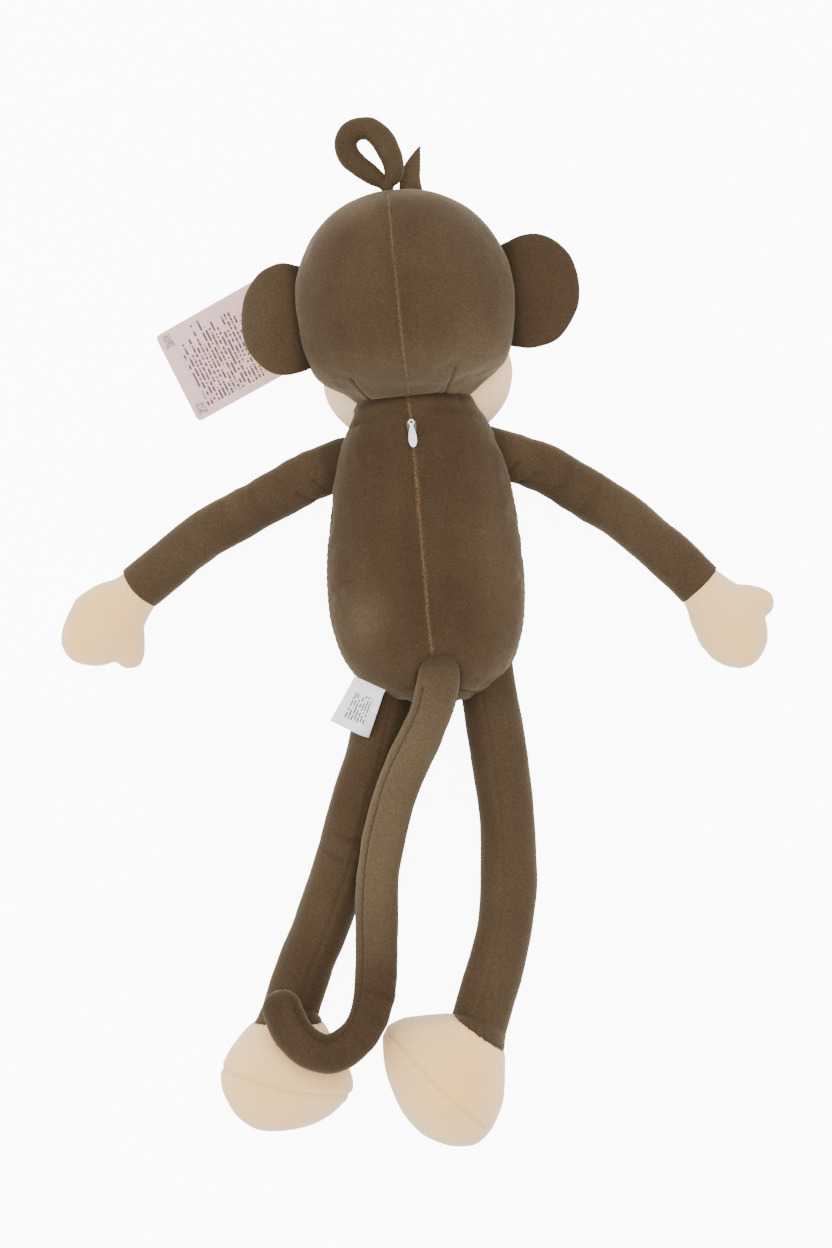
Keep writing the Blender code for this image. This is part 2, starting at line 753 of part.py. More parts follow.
def make_hair(nod):
    base_y = HEAD.y + HEAD_HALF.y + 0.007
    loop_joint = joint("hair_loop_axis", (-0.003, base_y, HAIR_LOOP_Z), nod)
    route = [(x, y, HAIR_LOOP_Z) for x, y in HAIR_LOOP_ROUTE]
    piece("hair_loop", wire("hair_loop", route, HAIR_LOOP_RADIUS, 3), "brown_velour", loop_joint)
    tuft_joint = joint("hair_tuft_axis", (0.012, base_y - 0.002, HEAD.z - 0.006), nod)
    outline = (
        (0.0075, 0.2105), (0.0165, 0.2095), (0.0180, 0.2180),
        (0.0190, 0.2265), (0.0178, 0.2288), (0.0140, 0.2262), (0.0095, 0.2195),
    )
    piece("hair_tuft", plate("hair_tuft", outline, HEAD.z - 0.006, 0.003), "brown_velour", tuft_joint)


# ---------------------------------------------------------------- limbs
def taper(root, full, count):
    """Radii that grow from the sewn root to the full size by the third ring."""
    return [root] + [root + (full - root) * 0.8] + [full] * (count - 2)


def make_limb(kind, route, radii, end_middle, setback, parent, filling_name):
    """A sleeve, open at both ends, and its filling."""
    rings = rings_along(route, radii, radii)
    last = rings[-1]
    axis = (Vector(end_middle) - rings[-2].middle).normalized()
    last.middle = Vector(end_middle) - axis * setback
    sleeve = skin(kind, round_start(rings), 12)
    thicken(piece(kind, sleeve, "brown_velour", parent))
    inner = [ring.inset(FILL_INSET) for ring in rings]
    inner[0].middle = inner[0].middle - (inner[0].middle - inner[1].middle) * 0.15
    inner[-1].middle = Vector(end_middle) - axis * FILL_SETBACK
    piece(filling_name, skin(filling_name, inner, 10, closed=True), "filling", parent)


def make_arm(side):
    route = ARM_ROUTES[side]
    shoulder = joint("shoulder_%s_axis" % side, route[0])
    radii = taper(ARM_ROOT_RADIUS, SLEEVE_RADIUS, len(route))
    make_limb(
        "arm_%s_sleeve" % side, route, radii, route[-1], CUFF_SETBACK,
        shoulder, "arm_%s_filling" % side,
    )
    wrist = joint("wrist_%s_axis" % side, route[-1], shoulder)
    stations = HAND_STATIONS[side]
    points = [route[-1]] + [(x, y, HAND_MIDDLE_Z) for x, y, _, _ in stations]
    widths = [WRIST_BALL] + [s[2] for s in stations]
    heights = [WRIST_BALL] + [s[3] for s in stations]
    rings = rings_along(points, widths, heights)
    name = "hand_%s_cover" % side
    thicken(piece(name, skin(name, round_start(rings), 14), "cream_velour", wrist))
    inner = fill_rings(rings)
    name = "hand_%s_filling" % side
    piece(name, skin(name, inner, 12, closed=True), "filling", wrist)


def make_leg(side):
    route = LEG_ROUTES[side]
    hip = joint("hip_%s_axis" % side, route[0])
    radii = taper(LEG_ROOT_RADIUS, LEG_RADIUS, len(route))
    make_limb(
        "leg_%s_sleeve" % side, route, radii, route[-1], CUFF_SETBACK,
        hip, "leg_%s_filling" % side,
    )
    ankle = joint("ankle_%s_axis" % side, route[-1], hip)
    stations = FOOT_STATIONS[side]
    points = [route[-1]]
    for x, y, _, half_height in stations:
        lift = max(FOOT_MIDDLE_Z, half_height)
        points.append((x, y, lift if half_height > 0.02 else FOOT_MIDDLE_Z))
    widths = [ANKLE_BALL] + [s[2] for s in stations]
    heights = [ANKLE_BALL] + [s[3] for s in stations]
    rings = rings_along(points, widths, heights)
    seam = FOOT_SOLE_STATION + 1
    name = "foot_%s_upper" % side
    upper = round_start(rings[: seam + 1])
    thicken(piece(name, skin(name, upper, 14), "cream_velour", ankle))
    name = "foot_%s_sole" % side
    sole = [between(rings[seam], rings[seam + 1], 0.07)] + rings[seam + 1 :]
    thicken(piece(name, skin(name, sole, 14), "cream_velour", ankle))
    name = "foot_%s_filling" % side
    inner = fill_rings(rings)
    piece(name, skin(name, inner, 12, closed=True), "filling", ankle)


def make_tail():
    root = joint("tail_root_axis", TAIL_ROUTE[0])
    radii = taper(TAIL_ROOT_RADIUS, TAIL_RADIUS, len(TAIL_ROUTE))
    rings = round_start(rings_along(TAIL_ROUTE, radii, radii))
    end = rings[-1]
    axis = (end.middle - rings[-2].middle).normalized()
    for degrees in (35, 62):
        angle = radians(degrees)
        middle = end.middle + axis * TAIL_RADIUS * sin(angle)
        size = TAIL_RADIUS * cos(angle)
        rings.append(Ring(middle, end.side, end.up, size, size))
    thicken(piece("tail_sleeve", skin("tail_sleeve", rings, 10), "brown_velour", root))
    inner = [ring.inset(FILL_INSET) for ring in rings[2:-1]]
    inner[0].middle = inner[0].middle.lerp(inner[1].middle, 0.15)
    piece("tail_filling", skin("tail_filling", inner, 8, closed=True), "filling", root)


# ---------------------------------------------------------------- labels
def oriented_box(name, middle, size, turn, material, moves_with):
    shape = bmesh.new()
    bmesh.ops.create_cube(shape, size=1.0)
    bmesh.ops.scale(shape, verts=shape.verts, vec=size)
    matrix = Matrix.Translation(middle) @ turn.to_4x4()
    bmesh.ops.transform(shape, verts=shape.verts, matrix=matrix)
    mesh = bpy.data.meshes.new(name)
    shape.to_mesh(mesh)
    shape.free()
    return piece(name, mesh, material, moves_with)


def make_care_label():
    root = Vector((-0.0385, -0.0745, 0.0600))
    lie = radians(-127.0)
    droop = radians(6.0)
    turn = Matrix.Rotation(lie, 3, "Z") @ Matrix.Rotation(droop, 3, "Y")
    flap = joint("care_label_axis", root)
    middle = root + turn @ Vector((LABEL_LENGTH / 2, 0, 0))
    oriented_box("care_label", middle, (LABEL_LENGTH, LABEL_WIDTH, 0.0010), turn, "white_satin", flap)


def make_hang_tag(nod):
    low_end = Vector((-0.1355, 0.1168, 0.0010))
    lie = radians(21.9)
    rise = radians(-24.0)
    turn = Matrix.Rotation(lie, 3, "Z") @ Matrix.Rotation(rise, 3, "Y")
    middle = low_end + turn @ Vector((TAG_LENGTH / 2, 0, CARD))
    hole_place = low_end + turn @ Vector((TAG_LENGTH - 0.008, 0, CARD))
    swing = joint("hang_tag_axis", hole_place, nod)
    tag = oriented_box("hang_tag", middle, (TAG_LENGTH, TAG_WIDTH, CARD), turn, "pink_card", swing)
    upright = turn @ Vector((0, 0, 1))
    hole = cutter("hang_tag_hole", rod("hang_tag_hole", hole_place, upright, 0.0024, 0.006))
    cut(tag, hole)
    seam_place = Vector((-0.0625, 0.1500, 0.0715))
    middle = hole_place.lerp(seam_place, 0.5)
    half_long = (seam_place - hole_place) / 2 * 1.03
    half_wide = turn @ Vector((0.0024, 0, 0))
    loop = []
    for step in range(20):
        angle = 2 * pi * step / 20
        loop.append(middle + half_long * cos(angle) + half_wide * sin(angle))
    piece("tag_fastener", wire("tag_fastener", loop, 0.0005, 1, cyclic=True), "white_plastic", nod)


# ---------------------------------------------------------------- build
WORLD = {}

clear_scene()
PARTS = new_collection("stuffed_monkey")
CUTTERS = new_collection("cutters", hidden=True)
PAINT = make_materials()

make_torso()
make_zip()
NECK_TURN = joint("neck_turn_axis", NECK)
piece("neck_filling", neck_plug_mesh("neck_filling", PLUG_RADIUS, 0.0), "filling", NECK_TURN)
NECK_NOD = joint("neck_nod_axis", NECK, NECK_TURN)
make_head(NECK_NOD)
make_hair(NECK_NOD)
for SIDE in SIDES:
    make_ear(SIDE, NECK_NOD)
    make_arm(SIDE)
    make_leg(SIDE)
make_tail()
make_care_label()
make_hang_tag(NECK_NOD)
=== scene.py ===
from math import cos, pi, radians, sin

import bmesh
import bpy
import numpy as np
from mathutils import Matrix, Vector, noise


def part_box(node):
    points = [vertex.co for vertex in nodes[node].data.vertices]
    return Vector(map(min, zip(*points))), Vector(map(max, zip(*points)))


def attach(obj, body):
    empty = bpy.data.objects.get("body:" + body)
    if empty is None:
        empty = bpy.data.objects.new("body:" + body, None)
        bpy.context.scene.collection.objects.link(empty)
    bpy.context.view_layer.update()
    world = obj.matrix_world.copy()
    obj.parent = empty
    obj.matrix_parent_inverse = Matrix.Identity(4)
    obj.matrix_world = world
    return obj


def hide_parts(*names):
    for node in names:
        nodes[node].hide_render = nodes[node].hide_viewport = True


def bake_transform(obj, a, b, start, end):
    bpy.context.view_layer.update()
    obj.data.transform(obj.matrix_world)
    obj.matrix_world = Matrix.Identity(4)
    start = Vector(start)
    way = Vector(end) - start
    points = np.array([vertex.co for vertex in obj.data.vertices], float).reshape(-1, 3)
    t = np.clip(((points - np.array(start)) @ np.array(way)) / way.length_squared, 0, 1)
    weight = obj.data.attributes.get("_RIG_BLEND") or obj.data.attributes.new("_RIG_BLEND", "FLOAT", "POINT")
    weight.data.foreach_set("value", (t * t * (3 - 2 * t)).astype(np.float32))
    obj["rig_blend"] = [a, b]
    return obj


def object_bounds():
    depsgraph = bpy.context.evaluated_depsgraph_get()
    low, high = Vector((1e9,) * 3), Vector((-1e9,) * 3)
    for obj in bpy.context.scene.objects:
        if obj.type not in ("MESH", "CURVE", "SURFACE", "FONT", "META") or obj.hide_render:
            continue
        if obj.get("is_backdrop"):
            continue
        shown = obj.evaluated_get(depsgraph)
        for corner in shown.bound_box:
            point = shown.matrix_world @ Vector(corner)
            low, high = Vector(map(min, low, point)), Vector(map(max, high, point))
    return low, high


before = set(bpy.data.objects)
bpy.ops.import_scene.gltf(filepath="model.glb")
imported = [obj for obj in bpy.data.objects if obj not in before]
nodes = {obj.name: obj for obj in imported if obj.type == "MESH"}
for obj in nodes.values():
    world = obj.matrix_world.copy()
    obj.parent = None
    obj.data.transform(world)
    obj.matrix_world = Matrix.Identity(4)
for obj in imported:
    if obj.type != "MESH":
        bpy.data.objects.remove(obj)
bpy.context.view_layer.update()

# %% [markdown]
# # A stuffed monkey, lying on its front
# The real toy is a set of sewn velour bags packed with loose fibre. The parts
# library already holds its plain solids and joints. This lesson builds what the
# eye sees over them: one padded cover for each bag, its seams and stitches, the
# zip, the two labels and the plastic face. +Z comes out of the toy's back, +Y runs
# to its head and +X to its right.

# %% [markdown]
# A few short helpers keep the steps below easy to read. Lengths are in metres, but
# long tables are written in millimetres, and mm() turns them to metres.


# %% Helpers for tables and objects
def mm(*rows):
    """Rows of numbers in millimetres, as an array in metres."""
    return np.array(rows) / 1000


def linked(name, data):
    """A new object with this data, in the scene."""
    obj = bpy.data.objects.new(name, data)
    bpy.context.scene.collection.objects.link(obj)
    return obj


def evaluated(obj):
    """The mesh that an object's modifiers or curve settings make."""
    graph = bpy.context.evaluated_depsgraph_get()
    return bpy.data.meshes.new_from_object(obj.evaluated_get(graph))


def dress(mesh, materials=()):
    """Smooth shading, and materials in their order."""
    mesh.polygons.foreach_set("use_smooth", [True] * len(mesh.polygons))
    for material in materials:
        mesh.materials.append(material)


print("helpers ready")

# %% [markdown]
# ## Velour
# Velour is a knit with a very short, dense pile. Light skims the pile tips, so
# an edge seen at a low angle looks paler than a face seen straight on, and each
# stroke of a hand leaves a patch that is lighter or darker. Sheen gives the pale
# edge. Several scales of noise in the object's own coordinates give the patches,
# the streaks and the grain. Vertex attributes say where a seam has parted the pile,
# where shade is painted into creases, folds and joins, and where the pile is brushed
# up; on the sides of the hands and feet, the ears and the muzzle that last mark is
# painted light and shade.


# %% A small node helper
def node_tree(name):
    """A new material, its node tree and its Principled shader."""
    material = bpy.data.materials.new(name)
    material.use_nodes = True
    tree = material.node_tree
    shader = tree.nodes["Principled BSDF"]
    return material, tree, shader


def feed(tree, socket, value):
    """Link a socket to another one, or set its plain value."""
    if isinstance(value, bpy.types.NodeSocket):
        tree.links.new(value, socket)
    else:
        socket.default_value = value


def connect(tree, node, **inputs):
    """Feed a node's inputs by name, with _ in place of a space."""
    for key, value in inputs.items():
        feed(tree, node.inputs[key.replace("_", " ")], value)
    return node


def add(tree, kind, **inputs):
    """A new shader node with some inputs fed."""
    return connect(tree, tree.nodes.new("ShaderNode" + kind), **inputs)


def noise_of(tree, scale, detail=2.0, rough=0.5, stretch=None, seed=0.0):
    """A noise value in the object's own coordinates."""
    place = add(tree, "TexCoord").outputs["Object"]
    move = add(tree, "Mapping", Vector=place, Location=(seed, seed * 0.7, -seed))
    if stretch:
        connect(tree, move, Scale=stretch)
    return add(
        tree, "TexNoise", Vector=move.outputs[0], Scale=scale, Detail=detail, Roughness=rough
    ).outputs[0]


def remap(tree, value, low, high, to_low=0.0, to_high=1.0):
    """A value moved from one range to another, and kept inside it."""
    made = tree.nodes.new("ShaderNodeMapRange")
    for socket, number in zip(made.inputs, (value, low, high, to_low, to_high)):
        feed(tree, socket, number)
    return made.outputs[0]


def math(tree, operation, *values):
    """One arithmetic step."""
    made = tree.nodes.new("ShaderNodeMath")
    made.operation = operation
    for socket, value in zip(made.inputs, values):
        feed(tree, socket, value)
    return made.outputs[0]


def mix(tree, factor, a, b, blend="MIX"):
    """Two colours mixed."""
    made = tree.nodes.new("ShaderNodeMix")
    made.data_type = "RGBA"
    made.blend_type = blend
    for index, value in ((0, factor), (6, a), (7, b)):
        feed(tree, made.inputs[index], value)
    return made.outputs[2]


def bump(tree, height, strength, distance, below=None):
    """A small relief, on top of another one if below is given."""
    made = add(tree, "Bump", Strength=strength, Distance=distance, Height=height)
    if below is not None:
        connect(tree, made, Normal=below)
    return made.outputs[0]


def attribute(tree, name):
    """A value stored at each point of the mesh."""
    made = tree.nodes.new("ShaderNodeAttribute")
    made.attribute_name = name
    return made.outputs["Fac"]


print("node helpers ready")

# %% The velour material
CREASE_SHADE = 0.42


def velour(name, deep, lifted, parted, pile, sheen, grain_depth, seed):
    """deep and lifted are the pile pressed down and brushed up, and lifted is also the
    painted rim light and shade on some parts; parted is the knit that shows in a seam;
    pile is the colour of the light on the tips."""
    material, tree, shader = node_tree(name)
    patches = remap(tree, noise_of(tree, 14.0, 3.0, 0.5, seed=seed), 0.35, 0.72)
    streaks = remap(tree, noise_of(tree, 42.0, 2.0, 0.6, (1.0, 0.35, 1.0), seed + 3), 0.42, 0.75)
    grain = noise_of(tree, 1100.0, 2.0, 0.7, seed=seed)
    specks = noise_of(tree, 820.0, 2.0, 0.6, seed=seed + 5)
    specks = remap(tree, specks, 0.3, 0.7, 1 - grain_depth, 1 + grain_depth)
    level = math(tree, "MULTIPLY", patches, 0.22)
    level = math(tree, "ADD", level, math(tree, "MULTIPLY", streaks, 0.14))
    # The nap mark lifts the colour: brushed pile, and on some parts painted rim light and shade.
    level = math(tree, "ADD", level, attribute(tree, "nap_and_shading"))
    level.node.use_clamp = True
    colour = mix(tree, level, (*deep, 1), (*lifted, 1))
    fibre = mix(tree, 1.0, colour, specks, "MULTIPLY")
    # Painted shade: where the crease mark is set, the colour darkens towards a darker copy of deep, in
    # creases, folds and joins.
    shade = tuple(CREASE_SHADE * c for c in deep)
    dark = mix(tree, attribute(tree, "shaded_crease"), fibre, (*shade, 1))
    broken = remap(tree, noise_of(tree, 900.0, 2.0, 0.6, seed=seed + 9), 0.40, 0.58)
    seam = math(tree, "MULTIPLY", attribute(tree, "seam"), broken)
    wide = bump(tree, noise_of(tree, 170.0, 3.0, 0.6, seed=seed + 2), 0.22, 0.0012)
    connect(
        tree, shader, Base_Color=mix(tree, seam, dark, (*parted, 1)), Roughness=0.95,
        Normal=bump(tree, grain, 0.5, 0.00035, wide), Specular_IOR_Level=0.15,
        Sheen_Weight=sheen, Sheen_Roughness=0.38, Sheen_Tint=(*pile, 1),
    )
    return material


brown = velour(
    "brown velour", (0.0395, 0.0228, 0.0108), (0.094, 0.0640, 0.0350), (0.150, 0.088, 0.044),
    (0.78, 0.68, 0.46), 0.20, 0.20, 0.0,
)
# Painted rim shade: lifted is a paler, greyer cream than deep, given to the sides of the hands and feet and
# to the muzzle.
cream = velour(
    "cream velour", (0.96, 0.565, 0.185), (0.84, 0.640, 0.430), (0.56, 0.34, 0.17),
    (1.0, 0.95, 0.88), 0.16, 0.07, 20.0,
)
print("materials", brown.name, cream.name)

# %% [markdown]
# ## Bags of cloth
# Every limb, the body and the head are closed bags. Each is drawn as rings of
# points along a line, from one pole to the other. The rings are close together,
# about a millimetre apart, so that seams and creases can be pressed into them.


# %% Lines and rings
def smooth_line(points, step):
    """Points at an even step along a smooth curve through the given points."""
    p = np.asarray(points, float)
    p = np.vstack([2 * p[0] - p[1], p, 2 * p[-1] - p[-2]])
    dense = []
    for a, b, c, d in zip(p, p[1:], p[2:], p[3:]):
        t = np.linspace(0, 1, 40, endpoint=False)[:, None]
        dense.append(
            0.5 * (2 * b + (c - a) * t + (2 * a - 5 * b + 4 * c - d) * t**2
                   + (3 * b - a - 3 * c + d) * t**3)
        )
    dense = np.vstack(dense + [p[-2:-1]])
    along = np.r_[0, np.cumsum(np.linalg.norm(np.diff(dense[:, :3], axis=0), axis=1))]
    count = max(4, int(round(along[-1] / step)) + 1)
    at = np.linspace(0, along[-1], count)
    return np.stack([np.interp(at, along, dense[:, k]) for k in range(p.shape[1])], axis=1)


def unit(v):
    return v / np.maximum(np.linalg.norm(v, axis=-1, keepdims=True), 1e-12)


def bell(gap, width):
    """1 at no gap, falling smoothly to nothing over about two widths."""
    return np.exp(-((gap / width) ** 2))


def turning(centres):
    """The side and up directions of rings that follow a line."""
    tangent = unit(np.gradient(centres, axis=0))
    side = unit(np.cross(tangent, (0.0, 0.0, 1.0)))
    return side, unit(np.cross(side, tangent))


def facing_y(count):
    """The side and up directions of rings that all face along Y."""
    return np.tile((1.0, 0.0, 0.0), (count, 1)), np.tile((0.0, 0.0, 1.0), (count, 1))


def fbm(points, scale, octaves):
    """Smooth noise, about -1 to 1, at each point."""
    return np.array(
        [noise.fractal(Vector(p) * scale, 1.0, 2.0, octaves) for p in points], float
    )


# The seam mark is the parted pile, the crease mark is painted shade, and the nap mark is brushed pile, on
# some parts painted rim light and shade.
MARKS = ("seam", "shaded_crease", "nap_and_shading")


class Cloth:
    """The points of a cover, with marks that say how its pile lies at each of them and where light and shade
    are painted on it.
    """

    def __init__(self, grid):
        self.grid = grid
        self.values = {}

    def value(self, key):
        """One of the marks, at each point."""
        return self.values.setdefault(key, np.zeros(self.grid.shape[:-1]))

    def push(self, amount):
        """Move each point outwards by its amount."""
        self.grid = self.grid + self.normals() * np.asarray(amount)[..., None]

    def wrinkle(self, scale, depth, octaves):
        """Uneven stuffing, as smooth noise."""
        rough = fbm(self.grid.reshape(-1, 3), scale, octaves)
        self.push(rough.reshape(self.grid.shape[:-1]) * depth)

    def lay_flat(self, z, soft):
        """Where the cover rests on a plane, it is pressed flat on it."""
        depth = self.grid[..., 2] - z
        self.grid[..., 2] = z + soft * np.logaddexp(0, depth / soft)


def store_mark(mesh, key, level):
    """One mark, as a vertex attribute that the materials read."""
    layer = mesh.attributes.new(key, "FLOAT", "POINT")
    layer.data.foreach_set("value", level.astype(np.float32))


class Bag(Cloth):
    """A grid of rings, closed by a point at each end."""

    def __init__(self, name, centres, side, up, half_side, half_up, around, power=2.0):
        self.name = name
        self.around = around
        angle = np.linspace(0, 2 * pi, around, endpoint=False)
        power = np.broadcast_to(np.asarray(power, float), len(centres))[:, None]
        c, s = np.cos(angle)[None], np.sin(angle)[None]
        c = np.sign(c) * np.abs(c) ** (2 / power)
        s = np.sign(s) * np.abs(s) ** (2 / power)
        half_side = np.asarray(half_side, float)[:, None, None]
        half_up = np.asarray(half_up, float)[:, None, None]
        super().__init__(
            centres[:, None] + side[:, None] * c[..., None] * half_side
            + up[:, None] * s[..., None] * half_up
        )
        self.angle = angle

    def normals(self):
        """The way out of the bag at each point."""
        g = self.grid
        along = np.gradient(g, axis=0)
        round_ = np.roll(g, -1, axis=1) - np.roll(g, 1, axis=1)
        n = unit(np.cross(round_, along))
        middle = g.mean(axis=(0, 1))
        if ((g - middle) * n).sum() < 0:
            n = -n
        n[0], n[-1] = n[1], n[-2]
        return n

    def mesh(self, materials, pick=None):
        """The bag as an object. pick says, for each face, whether it has the second material."""
        rows, cols = self.grid.shape[:2]
        inner = self.grid[1:-1].reshape(-1, 3)
        poles = np.stack([self.grid[0].mean(axis=0), self.grid[-1].mean(axis=0)])
        points = np.vstack([inner, poles])
        count = rows - 2
        r = np.arange(count - 1)[:, None] * cols
        c = np.arange(cols)[None]
        n = (c + 1) % cols
        quads = np.stack([r + c, r + n, r + cols + n, r + cols + c], axis=-1).reshape(-1, 4)
        first, last = count * cols, count * cols + 1
        c, n = c[0], n[0]
        base = (count - 1) * cols
        caps = [[first, b, a] for a, b in zip(c, n)]
        caps += [[last, base + a, base + b] for a, b in zip(c, n)]
        mesh = bpy.data.meshes.new(self.name)
        mesh.from_pydata(points.tolist(), [], quads.tolist() + caps)
        for key in MARKS:
            grid = self.value(key)
            store_mark(mesh, key, np.r_[grid[1:-1].ravel(), grid[0].mean(), grid[-1].mean()])
        shape = bmesh.new()
        shape.from_mesh(mesh)
        if shape.calc_volume(signed=True) < 0:
            bmesh.ops.reverse_faces(shape, faces=shape.faces)
        shape.to_mesh(mesh)
        shape.free()
        dress(mesh, materials)
        if pick is not None:
            centre = np.empty(len(mesh.polygons) * 3)
            mesh.polygons.foreach_get("center", centre)
            index = pick(centre.reshape(-1, 3)).astype(np.int32)
            mesh.polygons.foreach_set("material_index", index)
        print(self.name, "faces", len(mesh.polygons))
        return linked(self.name, mesh)


def near_line(points, line):
    """Distance of each point to a polyline, and how far along it the nearest spot is."""
    flat = np.asarray(points).reshape(-1, 3)
    best = np.full(len(flat), 1e9)
    where = np.zeros(len(flat))
    run = 0.0
    for a, b in zip(line[:-1], line[1:]):
        d = b - a
        length = np.linalg.norm(d)
        t = np.clip((flat - a) @ d / max(length**2, 1e-12), 0, 1)
        gap = np.linalg.norm(flat - a - t[:, None] * d, axis=1)
        closer = gap < best
        best[closer] = gap[closer]
        where[closer] = run + t[closer] * length
        run += length
    shape = np.asarray(points).shape[:-1]
    return best.reshape(shape), where.reshape(shape)


print("rings and bags ready, marks", MARKS)

# %% Heights, seams and creases on a bag
def height_at(bag, x, y):
    """The top of a bag's cloth over a spot on the floor."""
    near = np.hypot(bag.grid[..., 0] - x, bag.grid[..., 1] - y) < 0.0035
    return float(bag.grid[..., 2][near].max())


def mark(bag, key, amount):
    """Raise one of the marks of a bag to at least this amount."""
    marks = bag.value(key)
    np.maximum(marks, amount, out=marks)


SEAM_PITCH = 0.0045


def sew(bag, line, depth=0.0007, width=0.0012, show=0.9, pucker=0.0002, band=0.0011):
    """Press a seam line into a bag, with a pucker at each stitch, and mark the parted pile."""
    gap, along = near_line(bag.grid, line)
    close = bell(gap, width)
    wave = np.sin(along * 2 * pi / SEAM_PITCH) * bell(gap, 3.5 * width)
    roll = bell(gap - 2.6 * width, 1.3 * width)
    bag.push(-depth * close + pucker * wave + 0.22 * depth * roll)
    mark(bag, "seam", show * np.clip(1.5 - gap / band, 0, 1))
    return gap


def shaded_crease(bag, line, depth, width, dark=0.5):
    """A fold pressed into the cloth along a line, with painted shade along it."""
    gap, _ = near_line(bag.grid, line)
    fall = bell(gap, width)
    bag.push(-depth * fall)
    mark(bag, "shaded_crease", dark * fall)


def grow_ends(count, start, finish):
    """Ring sizes from 0 to 1, rounded at both ends over that many rings."""
    size = np.ones(count)
    t = np.linspace(0, 1, start + 1)
    size[: start + 1] = np.sqrt(np.clip(1 - (1 - t) ** 2, 0, 1))
    t = np.linspace(0, 1, finish + 1)
    size[count - finish - 1:] *= np.sqrt(np.clip(1 - t**2, 0, 1))
    return size


print("seam pitch", SEAM_PITCH)

# %% [markdown]
# The stuffing presses the cloth out between its seams. A coarse copy of a cover is
# run as cloth for twenty frames, with air pressure inside and no weight, and held
# at its seams and ends. The way it moved, never more than about a millimetre, is
# then spread over the fine cover.

# %% Stuffing pressure
CLOTH_TICKS = 20
CLOTH_PRESSURE = 4.0


def coarse_cloth(points, held, slack):
    """A closed cage of ring points as a cloth object, held where held is true."""
    index = np.arange(held.size).reshape(held.shape)
    beside = np.roll(index, -1, axis=1)
    faces = np.stack([index[:-1], beside[:-1], beside[1:], index[1:]], axis=-1).reshape(-1, 4)
    mesh = bpy.data.meshes.new("cloth")
    ends = [index[0, ::-1].tolist(), index[-1].tolist()]
    mesh.from_pydata(points.reshape(-1, 3).tolist(), [], faces.tolist() + ends)
    obj = linked("cloth", mesh)
    obj.vertex_groups.new(name="held").add(index[held].tolist(), 1.0, "REPLACE")
    cloth = obj.modifiers.new("cloth", "CLOTH")
    cloth.point_cache.frame_end = CLOTH_TICKS
    fabric = cloth.settings
    fabric.quality = 6
    fabric.mass = 0.05
    fabric.tension_stiffness = 12.0
    fabric.compression_stiffness = 6.0
    fabric.shear_stiffness = 4.0
    fabric.bending_stiffness = 0.05
    fabric.shrink_min = -slack
    fabric.use_pressure = True
    fabric.uniform_pressure_force = CLOTH_PRESSURE
    fabric.vertex_group_mass = "held"
    fabric.effector_weights.gravity = 0.0
    return obj


def spread(moved, rows, picked, around, column_step):
    """Coarse movements over every point of the fine grid, smoothed to its spacing."""
    place = np.interp(np.arange(rows), picked, np.arange(len(picked)))
    low = np.minimum(place.astype(int), len(picked) - 2)
    share = (place - low)[:, None, None]
    by_row = moved[low] * (1 - share) + moved[low + 1] * share
    place = np.arange(around) / column_step
    low = place.astype(int) % moved.shape[1]
    share = (place - place.astype(int))[None, :, None]
    fine = by_row[:, low] * (1 - share) + by_row[:, (low + 1) % moved.shape[1]] * share
    for shift in (1, 2):
        fine = (np.roll(fine, shift, 1) + 2 * fine + np.roll(fine, -shift, 1)) / 4
        fine[shift:-shift] = (fine[:-2 * shift] + 2 * fine[shift:-shift] + fine[2 * shift:]) / 4
    return fine


def settle(bag, held, slack=0.02, most=0.0011, row_step=4, column_step=5):
    """Let the stuffing press a cover out, except where held is true."""
    rows = len(bag.grid)
    picked = np.unique(np.r_[0:rows:row_step, rows - 1])
    columns = np.arange(0, bag.around, column_step)
    coarse = bag.grid[picked][:, columns]
    pinned = held[picked][:, columns]
    pinned[:2] = True
    pinned[-2:] = True
    obj = coarse_cloth(coarse, pinned, slack)
    for tick in range(1, CLOTH_TICKS + 1):
        bpy.context.scene.frame_set(tick)
    graph = bpy.context.evaluated_depsgraph_get()
    pressed = obj.evaluated_get(graph)
    flat = np.empty(coarse.size)
    pressed.data.vertices.foreach_get("co", flat)
    moved = flat.reshape(coarse.shape) - coarse
    bpy.data.objects.remove(obj, do_unlink=True)
    bpy.context.scene.frame_set(1)
    length = np.linalg.norm(moved, axis=-1, keepdims=True)
    print(bag.name, "moved up to", round(1000 * length.max(), 2), "mm before the limit")
    moved *= most / np.maximum(length, most)
    bag.grid = bag.grid + spread(moved, rows, picked, bag.around, column_step)


print("cloth steps", CLOTH_TICKS, "pressure", CLOTH_PRESSURE)

# %% [markdown]
# ## The body
# The body is two back panels, closed by a hidden zip, and one belly panel, sewn
# with the seams inside and then stuffed. Stuffing rounds the panels between the
# seams, so a seam is always a shallow valley. Where the tail is sewn in, more
# cloth is fed in than the opening needs, and it gathers into folds.

# %% The body's rings
BACK_Z = 0.0860
BELLY_Z = 0.0004
TAIL_ROOT = np.array((0.0025, -0.0720, 0.0830))
# Y, middle X, half width, half depth, middle Z.
BODY_STATIONS = mm(
    (98.5, 2, 3, 3, 50), (97.6, 2, 12.5, 12.5, 50), (95.3, 2, 22.5, 23.5, 50),
    (92, 2, 29.5, 32, 50), (87.5, 2.2, 33.5, 36.8, 49.8), (81, 2.5, 36, 38, 48.8),
    (72, 2.8, 40.2, 40, 47.2), (60, 2.6, 45.5, 42.5, 46), (52, 2.4, 48.2, 44, 45.5),
    (30, 2, 52.5, 46.5, 45.5), (6, 1.2, 55.2, 48.5, 45.5), (-20, 0.5, 56.2, 48.5, 45.5),
    (-42, 0, 54, 47, 45.5), (-58, 0.2, 49.2, 43, 45.5), (-71, 1, 40.5, 35.5, 45.5),
    (-81, 2, 26.8, 24, 45.5), (-86.2, 2.5, 12, 11, 45.5), (-87.6, 2.5, 3, 3, 45.5),
)


